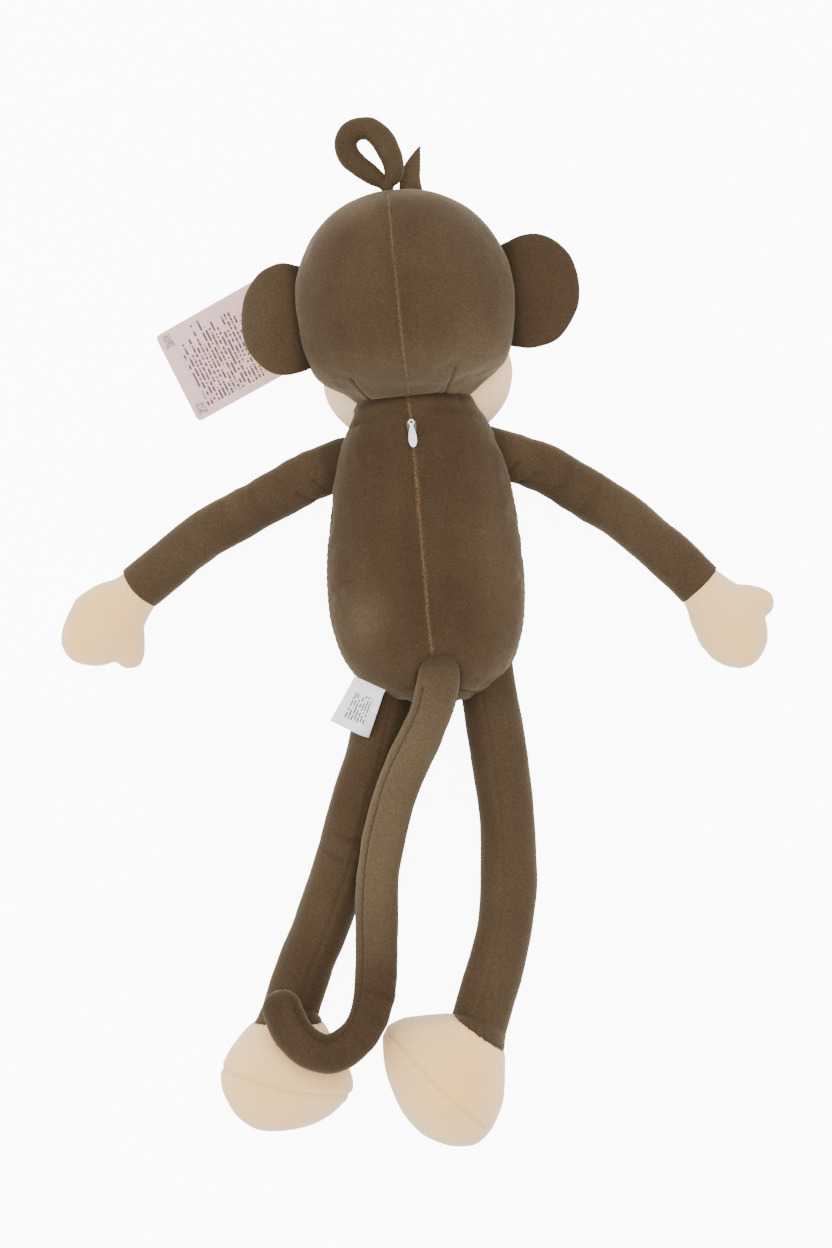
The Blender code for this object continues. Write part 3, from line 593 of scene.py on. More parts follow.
def soft_below(value, limit, soft):
    """value, kept under limit with a rounded corner."""
    return -soft * np.logaddexp(-value / soft, -np.asarray(limit) / soft)


def body_bag(step=0.0011, around=300):
    line = smooth_line(BODY_STATIONS, step)
    centres = line[:, (1, 0, 4)]
    side, up = facing_y(len(line))
    return Bag("torso_cover", centres, side, up, line[:, 2], line[:, 3], around, 2.12)


body = body_bag()
x, y, z = np.moveaxis(body.grid, -1, 0)
crown = BACK_Z - 0.0008 + 0.0040 * (1 - bell(x, 0.016))
crown = crown + 0.12 * np.maximum(0.0, y - 0.0770)
body.grid[..., 2] = soft_below(z, crown, 0.0030)
body.lay_flat(BELLY_Z, 0.0035)
print("body rings", body.grid.shape)

# %% Folds gathered below the tail
def gathers(bag, root, reach, start, folds, depth, allowed, seed):
    """Folds that run out from a root, strongest just outside it."""
    away = bag.grid - np.asarray(root)
    distance = np.linalg.norm(away, axis=-1)
    angle = np.arctan2(away[..., 1], away[..., 0])
    bend = 0.55 * np.sin(angle * 2.0 + seed) + 0.25 * np.sin(angle * 5.0 + 2 * seed)
    wave = np.sin(angle * folds + 3.0 * bend + distance * 40.0 + seed)
    wave = np.sign(wave) * np.abs(wave) ** 1.3
    fall = np.exp(-((np.maximum(distance - start, 0) / reach) ** 1.6))
    rise = np.clip((distance - 0.55 * start) / (0.6 * start), 0, 1)
    bag.push(depth * wave * fall * rise * allowed(angle, away))
    # Painted shade in the valleys of the folds.
    valley = np.clip(-wave, 0, 1) * fall * rise * allowed(angle, away)
    mark(bag, "shaded_crease", 0.6 * valley)


def below_root(angle, away):
    """1 in the directions below and beside a root on the back, 0 above it and underneath."""
    low = np.clip((0.25 - np.sin(angle)) / 0.5, 0, 1)
    return low * np.clip((away[..., 2] + 0.055) / 0.02, 0, 1)


gathers(body, TAIL_ROOT + (0.0, -0.004, 0.0), 0.0165, 0.0125, 11, 0.0019, below_root, 0.6)
print("gathers pressed")

# %% The body's seams
back_line = np.array([(-0.0012, 0.0940, BACK_Z), (0.0, 0.0655, BACK_Z), (0.0, -0.0460, BACK_Z),
                      (0.0022, -0.0640, BACK_Z), (0.0025, -0.0876, 0.0455)])
body_seam = smooth_line(back_line, 0.002)
for index, spot in enumerate(body_seam):
    column = np.argmin(np.abs(body.angle - pi / 2))
    lane = body.grid[:, column - 12:column + 13].reshape(-1, 3)
    nearest = np.argmin(np.hypot(lane[:, 0] - spot[0], lane[:, 1] - spot[1]))
    body_seam[index, 2] = lane[nearest, 2]
body_seam = body_seam[body_seam[:, 1] > -0.070]
NECK_FOLDS = (
    (mm((-33, 74.5, 60), (-29, 77, 73), (-18, 80, 84), (-6, 82, 87)), 0.0010, 0.0022, 0.45),
    (mm((10, 81.5, 87), (22, 80, 82), (33, 76, 70), (37.5, 72, 56)), 0.0006, 0.0020, 0.25),
)
# Each neck fold is pressed in with painted shade.
for fold, depth, width, dark in NECK_FOLDS:
    shaded_crease(body, smooth_line(fold, 0.001), depth, width, dark)
# Painted shade in a band across the neck, where the body meets the head.
neck_gap = np.abs(body.grid[..., 1] - 0.0895 + 1.2 * (body.grid[..., 0] - 0.0015) ** 2 / 0.36)
mark(body, "shaded_crease", 0.6 * bell(neck_gap, 0.0022))
sew(body, body_seam, 0.0008, 0.0014, 0.50, 0.00018, 0.0011)
for column in (0, body.around // 2):
    sew(body, body.grid[6:-6:4, column], 0.0009, 0.0016, 0.20, 0.0003)
body.wrinkle(22.0, 0.0011, 2)
body.wrinkle(60.0, 0.00030, 3)
held = (body.value("seam") > 0.02) | (np.abs(body.grid[..., 0]) < 0.0030)
held |= np.linalg.norm((body.grid - TAIL_ROOT)[..., :2], axis=-1) < 0.0120
held |= body.grid[..., 2] < BELLY_Z + 0.0040
settle(body, held)
nap_and_shading = body.value("nap_and_shading")
gx, gy, gz = np.moveaxis(body.grid, -1, 0)
nap_and_shading += 0.55 * np.exp(-(((gx + 0.036) / 0.013) ** 2) - (((gy + 0.036) / 0.017) ** 2)) * (gz > 0.05)
nap_and_shading += 0.30 * np.clip((-0.050 - gy) / 0.03, 0, 1)
nap_and_shading += 0.22 * np.clip((gx - 0.020) / 0.025, 0, 1) * np.clip((0.06 - gy) / 0.05, 0, 1)
# Painted shade in a ring round the tail root.
root_gap = np.abs(np.linalg.norm((body.grid - TAIL_ROOT)[..., :2] * (1.0, 1.15), axis=-1) - 0.0115)
ring = bell(root_gap, 0.0030) * (gz > 0.05)
mark(body, "shaded_crease", 0.7 * ring)
torso_cover = body.mesh([brown])

# %% [markdown]
# ## The head
# The head is a ball of three panels: two brown ones that meet in a seam down the
# back, and a cream face. Two short darts take in the brown cloth just above the
# neck, so that the back of the head comes down steeply to the neck seam.

# %% The head's rings
YAW = radians(-5.0)
# Y, middle X, middle Z, half width, half depth.
HEAD_STATIONS = mm(
    (207.2, 2.3, 80, 2, 2), (206.4, 2.3, 80, 9.8, 9.2), (203.6, 2.3, 80, 20.8, 19.6),
    (198.5, 2.3, 80, 31.3, 29.5), (190, 2.3, 80, 42.5, 40), (178, 2.3, 80, 52.2, 49.2),
    (164, 2.3, 80, 58.6, 55.3), (150, 2.3, 80, 61.4, 57.9), (138, 2.3, 80, 61.4, 57.8),
    (126, 2.3, 79, 60.2, 56.6), (116, 2.3, 76.8, 57.9, 54.5), (107, 2.3, 73.5, 54, 51),
    (102, 2.3, 69.5, 49.4, 46.5), (97.8, 2.3, 65, 44, 41.5), (94, 2.2, 60, 38.7, 36.2),
    (90.5, 2, 55.5, 33.8, 32), (87, 1.8, 52, 28, 26.5), (82, 1.5, 50, 18, 17),
    (79.2, 1.5, 49, 6, 6), (78.8, 1.5, 49, 2, 2),
)


def head_bag(step=0.0012, around=300):
    line = smooth_line(HEAD_STATIONS, step)
    turn = np.array(Matrix.Rotation(YAW, 3, "Y"))
    side = np.tile(turn @ (1.0, 0.0, 0.0), (len(line), 1))
    up = np.tile(turn @ (0.0, 0.0, 1.0), (len(line), 1))
    return Bag("head_cover", line[:, (1, 0, 2)], side, up, line[:, 3], line[:, 4], around, 2.04)


head = head_bag()
print("head rings", head.grid.shape)

# %% Seams of the head
def on_back(bag, plan):
    """A line drawn on the back of a bag, from its X and Y."""
    line = smooth_line(np.array([(*p, 0.0) for p in plan]), 0.0015)
    flat = bag.grid.reshape(-1, 3)
    upper = flat[flat[:, 2] > np.median(flat[:, 2])]
    for spot in line:
        nearest = np.argmin(np.hypot(upper[:, 0] - spot[0], upper[:, 1] - spot[1]))
        spot[2] = upper[nearest, 2]
    return line


head_seam = on_back(head, mm((0, 90.8), (-1.4, 120), (-1.8, 150), (-2, 180), (-2, 203.5)))
sew(head, head_seam, 0.0006, 0.0011, 0.5, 0.00012, 0.0006)
# Two darts, each sewn and pressed in with painted shade.
for plan in (mm((-31.3, 101), (-26.8, 95), (-22.5, 89)),
             mm((27.3, 101.5), (24, 95.5), (20, 89.5))):
    line = on_back(head, plan)
    sew(head, line, 0.0004, 0.0010, 0.10, 0.0, 0.0006)
    shaded_crease(head, line, 0.0005, 0.0008, 0.50)
head.wrinkle(20.0, 0.0009, 2)
head.wrinkle(60.0, 0.00025, 3)
held = (head.value("seam") > 0.02) | (head.grid[..., 2] < 0.0450)
settle(head, held)
gx, gy, gz = np.moveaxis(head.grid, -1, 0)
nap_and_shading = head.value("nap_and_shading")
nap_and_shading += 0.34 * np.clip(gx / 0.030, 0, 1) * np.clip((0.150 - gy) / 0.04, 0, 1)
nap_and_shading += 0.30 * np.clip((0.118 - gy) / 0.020, 0, 1)
nap_and_shading += 0.45 * np.exp(-(((gx + 0.020) / 0.012) ** 2) - (((gy - 0.196) / 0.009) ** 2))

FACE_Z = 0.0700


def face_border(p):
    """How far below the brown and cream seam a point is."""
    lower = 0.95 * np.maximum(0.0, 0.1180 - p[..., 1])
    return FACE_Z - lower - p[..., 2]


def snap_border(bag, border):
    """Move the ring points nearest a border on to it, so two colours meet in a clean line."""
    value = border(bag.grid)
    beside = np.roll(value, -1, axis=1)
    share = value / np.where(value == beside, 1.0, value - beside)
    across = np.roll(bag.grid, -1, axis=1) - bag.grid
    spots = bag.grid + across * share[..., None]
    for row, column in zip(*np.nonzero(value * beside < 0)):
        nearer = column if share[row, column] < 0.5 else (column + 1) % bag.around
        bag.grid[row, nearer] = spots[row, column]


snap_border(head, face_border)
gap = np.abs(face_border(head.grid))
head.push(-0.0010 * bell(gap, 0.0014))
mark(head, "seam", 0.3 * bell(gap, 0.0010))
head_cover = head.mesh([brown, cream], lambda p: face_border(p) > 0)

# %% [markdown]
# ## The muzzle and the face
# The cheeks and mouth are one wide cream bag, sewn to the face and flattened
# where the toy rests on it. The eyes and the nose are plastic knobs, each locked by
# a washer behind the cloth, and the nose pulls the cloth in around it. The mouth is
# one curved line of dark thread.

# %% The muzzle bag
MUZZLE = np.array((0.0066, 0.1040, 0.0320))
MUZZLE_HALF = np.array((0.0552, 0.0410, 0.0320))


def ball_bag(name, middle, half, step, around, power=2.0, ends=2.0):
    """An oval bag with its poles along Y."""
    count = int(pi * half[1] / step)
    s = np.sin(np.linspace(-pi / 2, pi / 2, count))
    size = np.maximum((1 - np.abs(s) ** ends) ** (1 / ends), 0.02)
    centres = middle + np.stack([0 * s, half[1] * s, 0 * s], axis=1)
    side, up = facing_y(count)
    return Bag(name, centres, side, up, half[0] * size, half[2] * size, around, power)


muzzle = ball_bag("muzzle_cover", MUZZLE, MUZZLE_HALF, 0.0011, 230, 2.0, 2.1)
muzzle.lay_flat(0.0003, 0.0030)
muzzle.wrinkle(24.0, 0.0008, 2)
muzzle.wrinkle(70.0, 0.0002, 2)
print("muzzle rings", muzzle.grid.shape)


# %% Sinking the knobs into the cloth
def surface_spot(bag, target):
    """The point of a bag nearest to a place, and the way out from it."""
    flat = bag.grid.reshape(-1, 3)
    index = np.argmin(np.linalg.norm(flat - np.asarray(target), axis=1))
    return flat[index].copy(), bag.normals().reshape(-1, 3)[index]


def dimple(bag, spot, radius, depth):
    """The cloth pulled in round a knob, with painted shade in the hollow."""
    gap = np.linalg.norm(bag.grid - spot, axis=-1)
    bag.push(-depth * bell(gap, radius))
    mark(bag, "shaded_crease", 0.5 * bell(gap, 0.8 * radius))


nose_spot, nose_out = surface_spot(muzzle, MUZZLE + (0.0, 0.030, -0.024))
dimple(muzzle, nose_spot, 0.0085, 0.0012)
mouth_line = []
for across in np.linspace(-0.022, 0.022, 23):
    curve = -0.0105 + 22.0 * across**2
    spot, _ = surface_spot(muzzle, MUZZLE + (across, curve, -0.033))
    mouth_line.append(spot)
mouth_line = np.array(mouth_line)
# The mouth line is pressed in with painted shade.
shaded_crease(muzzle, mouth_line, 0.0008, 0.0016, 0.35)
# Painted shade: the whole muzzle takes mostly the paler, greyer lifted cream.
muzzle.value("nap_and_shading")[:] = 0.7
muzzle_cover = muzzle.mesh([cream])
print("nose at", nose_spot, "mouth points", len(mouth_line))

# %% Plastic for the eyes and the nose
def plastic(name, colour, rough, grain):
    material, tree, shader = node_tree(name)
    tint = remap(tree, noise_of(tree, 120.0, 3.0, 0.6), 0.3, 0.7, 0.86, 1.12)
    wear = remap(tree, noise_of(tree, 700.0, 3.0, 0.6), 0.4, 0.75, rough, rough + grain)
    ripple = bump(tree, noise_of(tree, 300.0, 2.0, 0.5), 0.05, 0.0004)
    tinted = mix(tree, 1.0, (*colour, 1), tint, "MULTIPLY")
    connect(tree, shader, Base_Color=tinted, Roughness=wear, Normal=ripple)
    return material


black = plastic("black plastic", (0.012, 0.011, 0.010), 0.14, 0.14)
white = plastic("white plastic", (0.80, 0.82, 0.83), 0.30, 0.18)
print("plastics", black.name, white.name)


def turned(name, profile, place, direction, material, sides=48, stretch=(1.0, 1.0)):
    """A turned shape: (radius, height) pairs swept round a direction."""
    line = smooth_line([(r, 0.0, h) for r, h in profile], 0.0004)
    angle = np.linspace(0, 2 * pi, sides, endpoint=False)
    shape = bmesh.new()
    rows = []
    for radius, _, height in line[1:-1]:
        rows.append([shape.verts.new((radius * cos(a) * stretch[0], radius * sin(a) * stretch[1],
                                      height)) for a in angle])
    low = shape.verts.new((0, 0, line[0][2]))
    high = shape.verts.new((0, 0, line[-1][2]))
    for k in range(sides):
        n = (k + 1) % sides
        shape.faces.new((low, rows[0][n], rows[0][k]))
        shape.faces.new((high, rows[-1][k], rows[-1][n]))
        for a, b in zip(rows, rows[1:]):
            shape.faces.new((a[k], a[n], b[n], b[k]))
    turn = Vector((0, 0, 1)).rotation_difference(Vector(direction)).to_matrix().to_4x4()
    bmesh.ops.transform(shape, verts=shape.verts, matrix=Matrix.Translation(Vector(place)) @ turn)
    bmesh.ops.recalc_face_normals(shape, faces=shape.faces)
    mesh = bpy.data.meshes.new(name)
    shape.to_mesh(mesh)
    shape.free()
    dress(mesh, [material])
    return linked(name, mesh)


# %% Eyes and nose
EYE_DOME = mm(
    (0, -3.5), (4.2, -3), (6.2, -0.8), (6.6, 0.6), (6, 2.8), (4.2, 4.5), (1.8, 5.3), (0, 5.5),
)
KNOB_SINK = 0.0004
eyes = {}
for side_name in ("left", "right"):
    low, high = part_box("eye_" + side_name)
    middle = np.array((low + high) / 2)
    spot, out = surface_spot(head, middle)
    seat = spot - out * KNOB_SINK
    eyes[side_name] = turned("eye_knob_" + side_name, EYE_DOME, seat, out, black)
nose_knob = turned("nose_knob", EYE_DOME, nose_spot, nose_out, black, 48, (1.65, 1.2))
print("eyes", list(eyes))

# %% [markdown]
# ## Arms, legs and tail
# Each is a long tube of brown velour turned right side out, so its one seam runs
# along it as a shallow line. The stuffing stops short of the joints, and there
# the cloth is looser and folds across the tube.

# %% A tube along a route
FLAT_REACH = 0.026


def tube_bag(name, route, radius, step=0.0013, start=0.010, finish=0.008, flat=1.0):
    """A stuffed tube. Its route gives X, Y, Z; radius is a number or one per route point.
    flat is how thick its first end is, as a share of its width."""
    route = np.asarray(route, float)
    radii = np.broadcast_to(np.asarray(radius, float), len(route))
    line = smooth_line(np.column_stack([route, radii]), step)
    centres, size = line[:, :3], line[:, 3]
    size = size * np.maximum(
        grow_ends(len(line), int(start / step), int(finish / step)), 0.03
    )
    side, up = turning(centres)
    around = int(2 * pi * size.max() / step)
    full = np.clip(np.arange(len(line)) * step / FLAT_REACH, 0, 1)
    depth = size * (flat + (1 - flat) * full * full * (3 - 2 * full))
    return Bag(name, centres, side, up, size, depth, around)


def folds_across(bag, at, spread, depth, pitch, seed, where):
    """Soft folds across a tube, at a distance from its start. They are deepest at one angle."""
    centre = bag.grid.mean(axis=1)
    along = np.r_[0, np.cumsum(np.linalg.norm(np.diff(centre, axis=0), axis=1))]
    distance = (along - at)[:, None]
    slant = 0.004 * np.sin(bag.angle + seed)[None] + 0.0015 * np.sin(3 * bag.angle + seed)
    fall = bell(distance, spread)
    wave = np.sin((distance + slant) * 2 * pi / pitch)
    face = 0.5 + 0.5 * np.cos(bag.angle - where)[None]
    bag.push(depth * wave * fall * face)
    # Painted shade in the valleys of the folds.
    mark(bag, "shaded_crease", 0.45 * np.clip(-wave, 0, 1) ** 2 * fall * face)


def sew_sleeve(bag, share):
    """The one seam along a sleeve, at a share of the way round it."""
    column = int(bag.around * share)
    sew(bag, bag.grid[4:-4:3, column], 0.0005, 0.0011, 0.08, 0.0001, 0.0007)


def finish_sleeve(bag, near_body, dark, nap_and_shading):
    """The shade where a sleeve meets the body, its brushed pile, and its object."""
    mark(bag, "shaded_crease", dark * near_body)
    bag.value("nap_and_shading")[:] = nap_and_shading
    bag.obj = bag.mesh([brown])
    return bag


ARM_ROUTES = {
    "left": mm(
        (-28, 59, 41), (-40, 57, 41.5), (-52, 53.5, 41.5), (-62, 50.2, 41), (-72, 46.4, 39.5),
        (-95, 36.7, 35), (-111.3, 29.4, 30), (-127.7, 21.5, 26), (-148.4, 8.2, 20.5),
        (-169, -6, 15.8),
    ),
    "right": mm(
        (30, 60, 41), (42, 57.5, 41.5), (53, 53.5, 41.5), (61, 50, 41), (69, 46, 40),
        (77.8, 41.4, 39), (95.9, 28.7, 34), (114.5, 15.5, 28), (131.2, 0, 23),
        (145.7, -14.6, 19), (161.8, -32.8, 15.8),
    ),
}
ARM_RADIUS = 0.0143
ARM_NAP = 0.16
arms = {}
for side_name, route in ARM_ROUTES.items():
    bag = tube_bag("arm_cover_" + side_name, route, ARM_RADIUS, 0.0012, 0.012, 0.0035)
    left = side_name == "left"
    folds_across(bag, 0.034, 0.010, 0.0005, 0.012, 1.0 if left else 2.3, -pi / 2)
    folds_across(bag, 0.074 if left else 0.066, 0.010, 0.0004, 0.021, 0.4, 0.6)
    bag.wrinkle(34.0, 0.0011, 2)
    bag.wrinkle(90.0, 0.00022, 2)
    bag.lay_flat(0.0004, 0.0015)
    sew_sleeve(bag, 0.94 if left else 0.46)
    out_sign = -1.0 if left else 1.0
    # Two short folds near the shoulder, pressed in with painted shade.
    for a, b in (((0.0500, 0.0400, 0.0500), (0.0590, 0.0475, 0.0545)),
                 ((0.0600, 0.0370, 0.0470), (0.0690, 0.0410, 0.0520))):
        ends = np.array((a, b)) * (out_sign, 1.0, 1.0)
        shaded_crease(bag, ends, 0.0010, 0.0013, 0.5)
    near_body = bell(np.maximum(np.abs(bag.grid[..., 0]) - 0.0480, 0), 0.0070)
    arms[side_name] = finish_sleeve(bag, near_body, 0.55, ARM_NAP)

# %% The legs
LEG_RADIUS = 0.0164
LEG_NAP = 0.10
LEG_ROUTES = {
    "left": mm(
        (-21.5, -54, 45), (-25, -72, 42), (-29, -85, 39.5), (-34.5, -101, 35), (-41, -120, 31.5),
        (-49.1, -138.5, 29), (-58.6, -166.8, 26.5), (-70.9, -194.8, 25.5), (-80.3, -215.5, 25.5),
        (-88.7, -231.7, 25.8), (-102, -263, 27),
    ),
    "right": mm(
        (29.2, -54, 45), (30.3, -72, 42), (31.5, -85, 39.5), (32.8, -101, 35),
        (34.2, -120, 31.5), (35.5, -140, 29), (35.8, -164, 26.5), (34.3, -188, 25.5),
        (30.8, -212, 25.5), (24, -237, 25.8), (7, -280.6, 27),
    ),
}
legs = {}
for side_name, route in LEG_ROUTES.items():
    bag = tube_bag("leg_cover_" + side_name, route, LEG_RADIUS, 0.0012, 0.012, 0.0035)
    left = side_name == "left"
    if left:
        folds_across(bag, 0.118, 0.012, 0.00028, 0.013, 0.9, 2.4)
    bag.wrinkle(24.0, 0.0008, 2)
    bag.wrinkle(80.0, 0.0002, 2)
    sew_sleeve(bag, 0.30 if left else 0.20)
    near_body = bell(np.maximum(-0.0800 - bag.grid[..., 1], 0), 0.0140)
    legs[side_name] = finish_sleeve(bag, near_body, 0.36, LEG_NAP)

# %% The tail
TAIL_LIFT = mm((4, -57, 0, 11.8), (3.8, -64, 1.2, 12.2), (2.8, -72, 4, 12.2))
over_back = [(x, y, height_at(body, x, y) + lift, size) for x, y, lift, size in TAIL_LIFT]
TAIL_ROUTE = mm(
    (0.8, -80, 80, 12.2), (-2, -88, 75.2, 12.2), (-6.2, -96.8, 70.4, 12.3),
    (-12.2, -107.3, 65.5, 12.4), (-20, -120.5, 60, 12.4), (-28, -137, 54.5, 12.4),
    (-35, -157, 52, 12.4), (-41, -180, 50.5, 12.4), (-45, -207, 52, 12.3),
    (-46.8, -232, 56, 12.1), (-50.5, -253, 62, 11.8), (-57.5, -267.5, 66.5, 11.5),
    (-67.5, -276.5, 69.5, 11.3), (-78.5, -280, 71, 11.2), (-88.5, -276.2, 71, 11.2),
    (-96.5, -267.5, 69.5, 11.2), (-102, -256, 67.5, 11.2), (-105.3, -242.5, 65.5, 11),
)
TAIL_ROUTE = np.vstack([over_back, TAIL_ROUTE])
tail = tube_bag(
    "tail_cover", TAIL_ROUTE[:, :3], TAIL_ROUTE[:, 3], 0.0011, 0.0140, 0.011, 0.36
)
folds_across(tail, 0.216, 0.020, 0.00030, 0.0135, 1.1, pi)
tail.wrinkle(36.0, 0.0009, 2)
tail.wrinkle(95.0, 0.0002, 2)
tail_column = int(tail.around * 0.135)
tail_seam = tail.grid[16:-12:2, tail_column].copy()
gap = sew(tail, tail_seam, 0.0010, 0.0011, 0.10, 0.00025, 0.0008)
# Painted shade along the seam's groove.
mark(tail, "shaded_crease", 0.75 * bell(gap, 0.0007))
nap_and_shading = tail.value("nap_and_shading")
light = 0.72 - 0.45 * bell(tail.grid[..., 1] + 0.070, 0.022)
nap_and_shading += light * np.clip((tail.grid[..., 1] + 0.245) / 0.070, 0, 1)
# Painted shade on the first rings of the tail, where it goes into the body.
rows_in = np.arange(len(tail.grid))[:, None]
mark(tail, "shaded_crease", 0.55 * bell(rows_in, 8.0))
tail_cover = tail.mesh([brown])

# %% [markdown]
# ## Hands and feet
# The hands are cream mittens with one thumb, and the feet are round cream bags
# with a seam where the sole begins. Each has a rounded root that sits inside the
# end of its tube, and on a foot the cloth past the cuff line is brown. A mitten is
# not a simple tube, so its closed shapes overlap first, and one new skin is laid
# over them all with a Remesh.

# %% One skin over several shapes
SKIN_VOXEL = 0.0011
SKIN_ROUNDS = 14


def fuse(name, shapes, voxel, rounds, materials):
    """One closed, smoothed skin over several closed point grids."""
    shape = bmesh.new()
    for bag in shapes:
        part = bag.mesh([])
        shape.from_mesh(part.data)
        bpy.data.objects.remove(part, do_unlink=True)
    mesh = bpy.data.meshes.new(name)
    shape.to_mesh(mesh)
    shape.free()
    for layer in list(mesh.attributes):
        if layer.name in MARKS:
            mesh.attributes.remove(layer)
    obj = linked(name, mesh)
    skin = obj.modifiers.new("skin", "REMESH")
    skin.mode = "VOXEL"
    skin.voxel_size = voxel
    soft = obj.modifiers.new("soft", "SMOOTH")
    soft.factor = 0.5
    soft.iterations = rounds
    done = evaluated(obj)
    obj.modifiers.clear()
    obj.data = done
    done.name = name
    done.materials.clear()
    dress(done, materials)
    print(name, "faces", len(done.polygons))
    return obj


class Skin(Cloth):
    """The points of a finished mesh, for pressing seams and folds into it."""

    def __init__(self, obj):
        self.obj = obj
        flat = np.empty(len(obj.data.vertices) * 3)
        obj.data.vertices.foreach_get("co", flat)
        super().__init__(flat.reshape(-1, 3))

    def normals(self):
        """The way out of the skin at each point."""
        self.store()
        flat = np.empty(len(self.grid) * 3, np.float32)
        self.obj.data.vertex_normals.foreach_get("vector", flat)
        return flat.reshape(-1, 3).astype(float)

    def store(self):
        """Put the points back into the mesh."""
        self.obj.data.vertices.foreach_set("co", self.grid.ravel())
        self.obj.data.update()

    def finish(self):
        """Put the points and marks into the mesh, and give its object."""
        self.store()
        for key in MARKS:
            store_mark(self.obj.data, key, self.value(key))
        return self.obj


def limb_end(name, stations, step=0.0016):
    """Rings through X, Y, Z, half width, half height stations."""
    line = smooth_line(stations, step)
    side, up = turning(line[:, :3])
    around = int(2 * pi * line[:, 3].max() / step)
    return Bag(name, line[:, :3], side, up, line[:, 3], line[:, 4], around, 2.05)


def stuffed_end(name, shapes, materials, folds):
    """A hand or foot: one skin that lies on the floor, with painted rim shade on its sides."""
    end = Skin(fuse(name, shapes, SKIN_VOXEL, SKIN_ROUNDS, materials))
    end.lay_flat(0.0003, 0.0020)
    for scale, depth in folds:
        end.wrinkle(scale, depth, 2)
    # Painted rim shade: the more a point faces sideways or down, the more it takes the paler, greyer colour.
    end.value("nap_and_shading")[:] = 0.9 * (1 - np.clip(end.normals()[:, 2], 0, 1))
    return end


# %% The mittens
# First the mitten and then its thumb, as X, Y, Z, half width and half height.
HANDS = {
    "left": (
        mm(
            (-159, 2, 17.5, 2, 2), (-160.5, 0.5, 17.2, 8.5, 8.5), (-165, -3, 16.5, 12.2, 11.8),
            (-172.5, -10, 16, 15, 13.4), (-181, -16.5, 15.8, 19.6, 14.6),
            (-190, -24.5, 15.7, 22.2, 15.2), (-198.5, -30.5, 15.6, 19.6, 14.6),
            (-206, -35, 15.4, 15, 12.4), (-212, -38.5, 15.2, 8.2, 7.8),
            (-214.2, -39.8, 15.2, 2, 2),
        ),
        mm(
            (-180, -20, 15, 4, 4), (-179, -26, 14.8, 11, 10), (-177.5, -36, 14.2, 11.2, 10.4),
            (-176, -45, 13.8, 8.8, 8.8), (-175.2, -50, 13.6, 5, 5),
            (-175, -51.8, 13.6, 1.5, 1.5),
        ),
    ),
    "right": (
        mm(
            (152.5, -22.5, 17.5, 2, 2), (154, -24.5, 17.2, 8.5, 8.5),
            (158, -29, 16.5, 12.2, 11.8), (164, -36.5, 16, 15, 13.4),
            (169.5, -45, 15.8, 18.6, 14.6), (175.5, -54.5, 15.7, 20.6, 15.2),
            (178.5, -64, 15.6, 20, 14.6), (179.5, -73, 15.4, 16.2, 13),
            (180, -80, 15.2, 8.8, 8.4), (180, -82.8, 15.2, 2, 2),
        ),
        mm(
            (172, -44, 15, 4, 4), (176.5, -44, 14.8, 10, 9.6), (184, -44, 14.2, 10.8, 10.4),
            (193, -44.8, 13.8, 9.6, 9.2), (201, -45.5, 13.6, 6, 6),
            (203.6, -45.8, 13.6, 1.5, 1.5),
        ),
    ),
}
hands = {}
for side_name, shapes in HANDS.items():
    bags = [limb_end("part", stations) for stations in shapes]
    folds = ((45.0, 0.0007), (120.0, 0.00015))
    hands[side_name] = stuffed_end("hand_cover_" + side_name, bags, [cream], folds)

# %% The feet
# First the pad, as Y, middle X, half width and half height. Then the root inside the
# leg, as X, Y, Z, half width and half height.
FOOT_MIDDLE_Z = 0.0315
FEET = {
    "left": (
        mm(
            (-254.5, -101, 3, 3), (-257, -101.5, 12, 12), (-261, -102.5, 18, 18),
            (-268.5, -104.8, 24.5, 23.5), (-277.1, -106.8, 30.8, 28),
            (-286.1, -107.3, 35.3, 30.3), (-296.7, -105.8, 38, 31.1),
            (-306.2, -104.5, 36.8, 30.8), (-316, -105.7, 30, 27), (-323.2, -108, 19, 19),
            (-326.4, -110, 8.5, 8.5), (-327.2, -110.5, 2, 2),
        ),
        mm(
            (-95, -247, 26.5, 2, 2), (-95.5, -248.5, 26.7, 10, 10),
            (-98.5, -255, 27.5, 14.6, 14.6), (-101.5, -264, 29, 18, 17.5),
            (-104, -276, 30, 16, 16), (-104.5, -279, 30, 2, 2),
        ),
    ),
    "right": (
        mm(
            (-266.8, -19, 3, 3), (-267.8, -18, 15, 12), (-270.5, -15.8, 26.5, 19.5),
            (-275, -13.5, 32.8, 24.5), (-283, -12.8, 35.2, 28.6), (-294.5, -12.7, 35, 30.8),
            (-307, -11.7, 33.2, 31.1), (-320.5, -10.8, 29.8, 29.5), (-332.5, -9.8, 23, 23.5),
            (-340.5, -8, 15, 16), (-344.8, -6.5, 7.5, 8.5), (-346, -6, 2, 2),
        ),
        mm(
            (17.5, -265, 26.5, 2, 2), (16.8, -266.8, 26.7, 10, 10), (12, -273, 27.5, 14.6, 14.6),
            (6.5, -281, 29, 17.5, 17.2), (0, -292, 30, 15, 15), (-1, -294.5, 30, 2, 2),
        ),
    ),
}
FOOT_SEAMS = {
    "left": mm((-141.5, -287), (-105, -300), (-69.5, -309)),
    "right": mm((-44.5, -275), (-18, -306), (7, -333)),
}
CUFF_LINES = {
    "left": mm((-120.6, -262.2), (-83.7, -265.4)),
    "right": mm((-4.7, -268), (21.7, -291.1)),
}
feet = {}
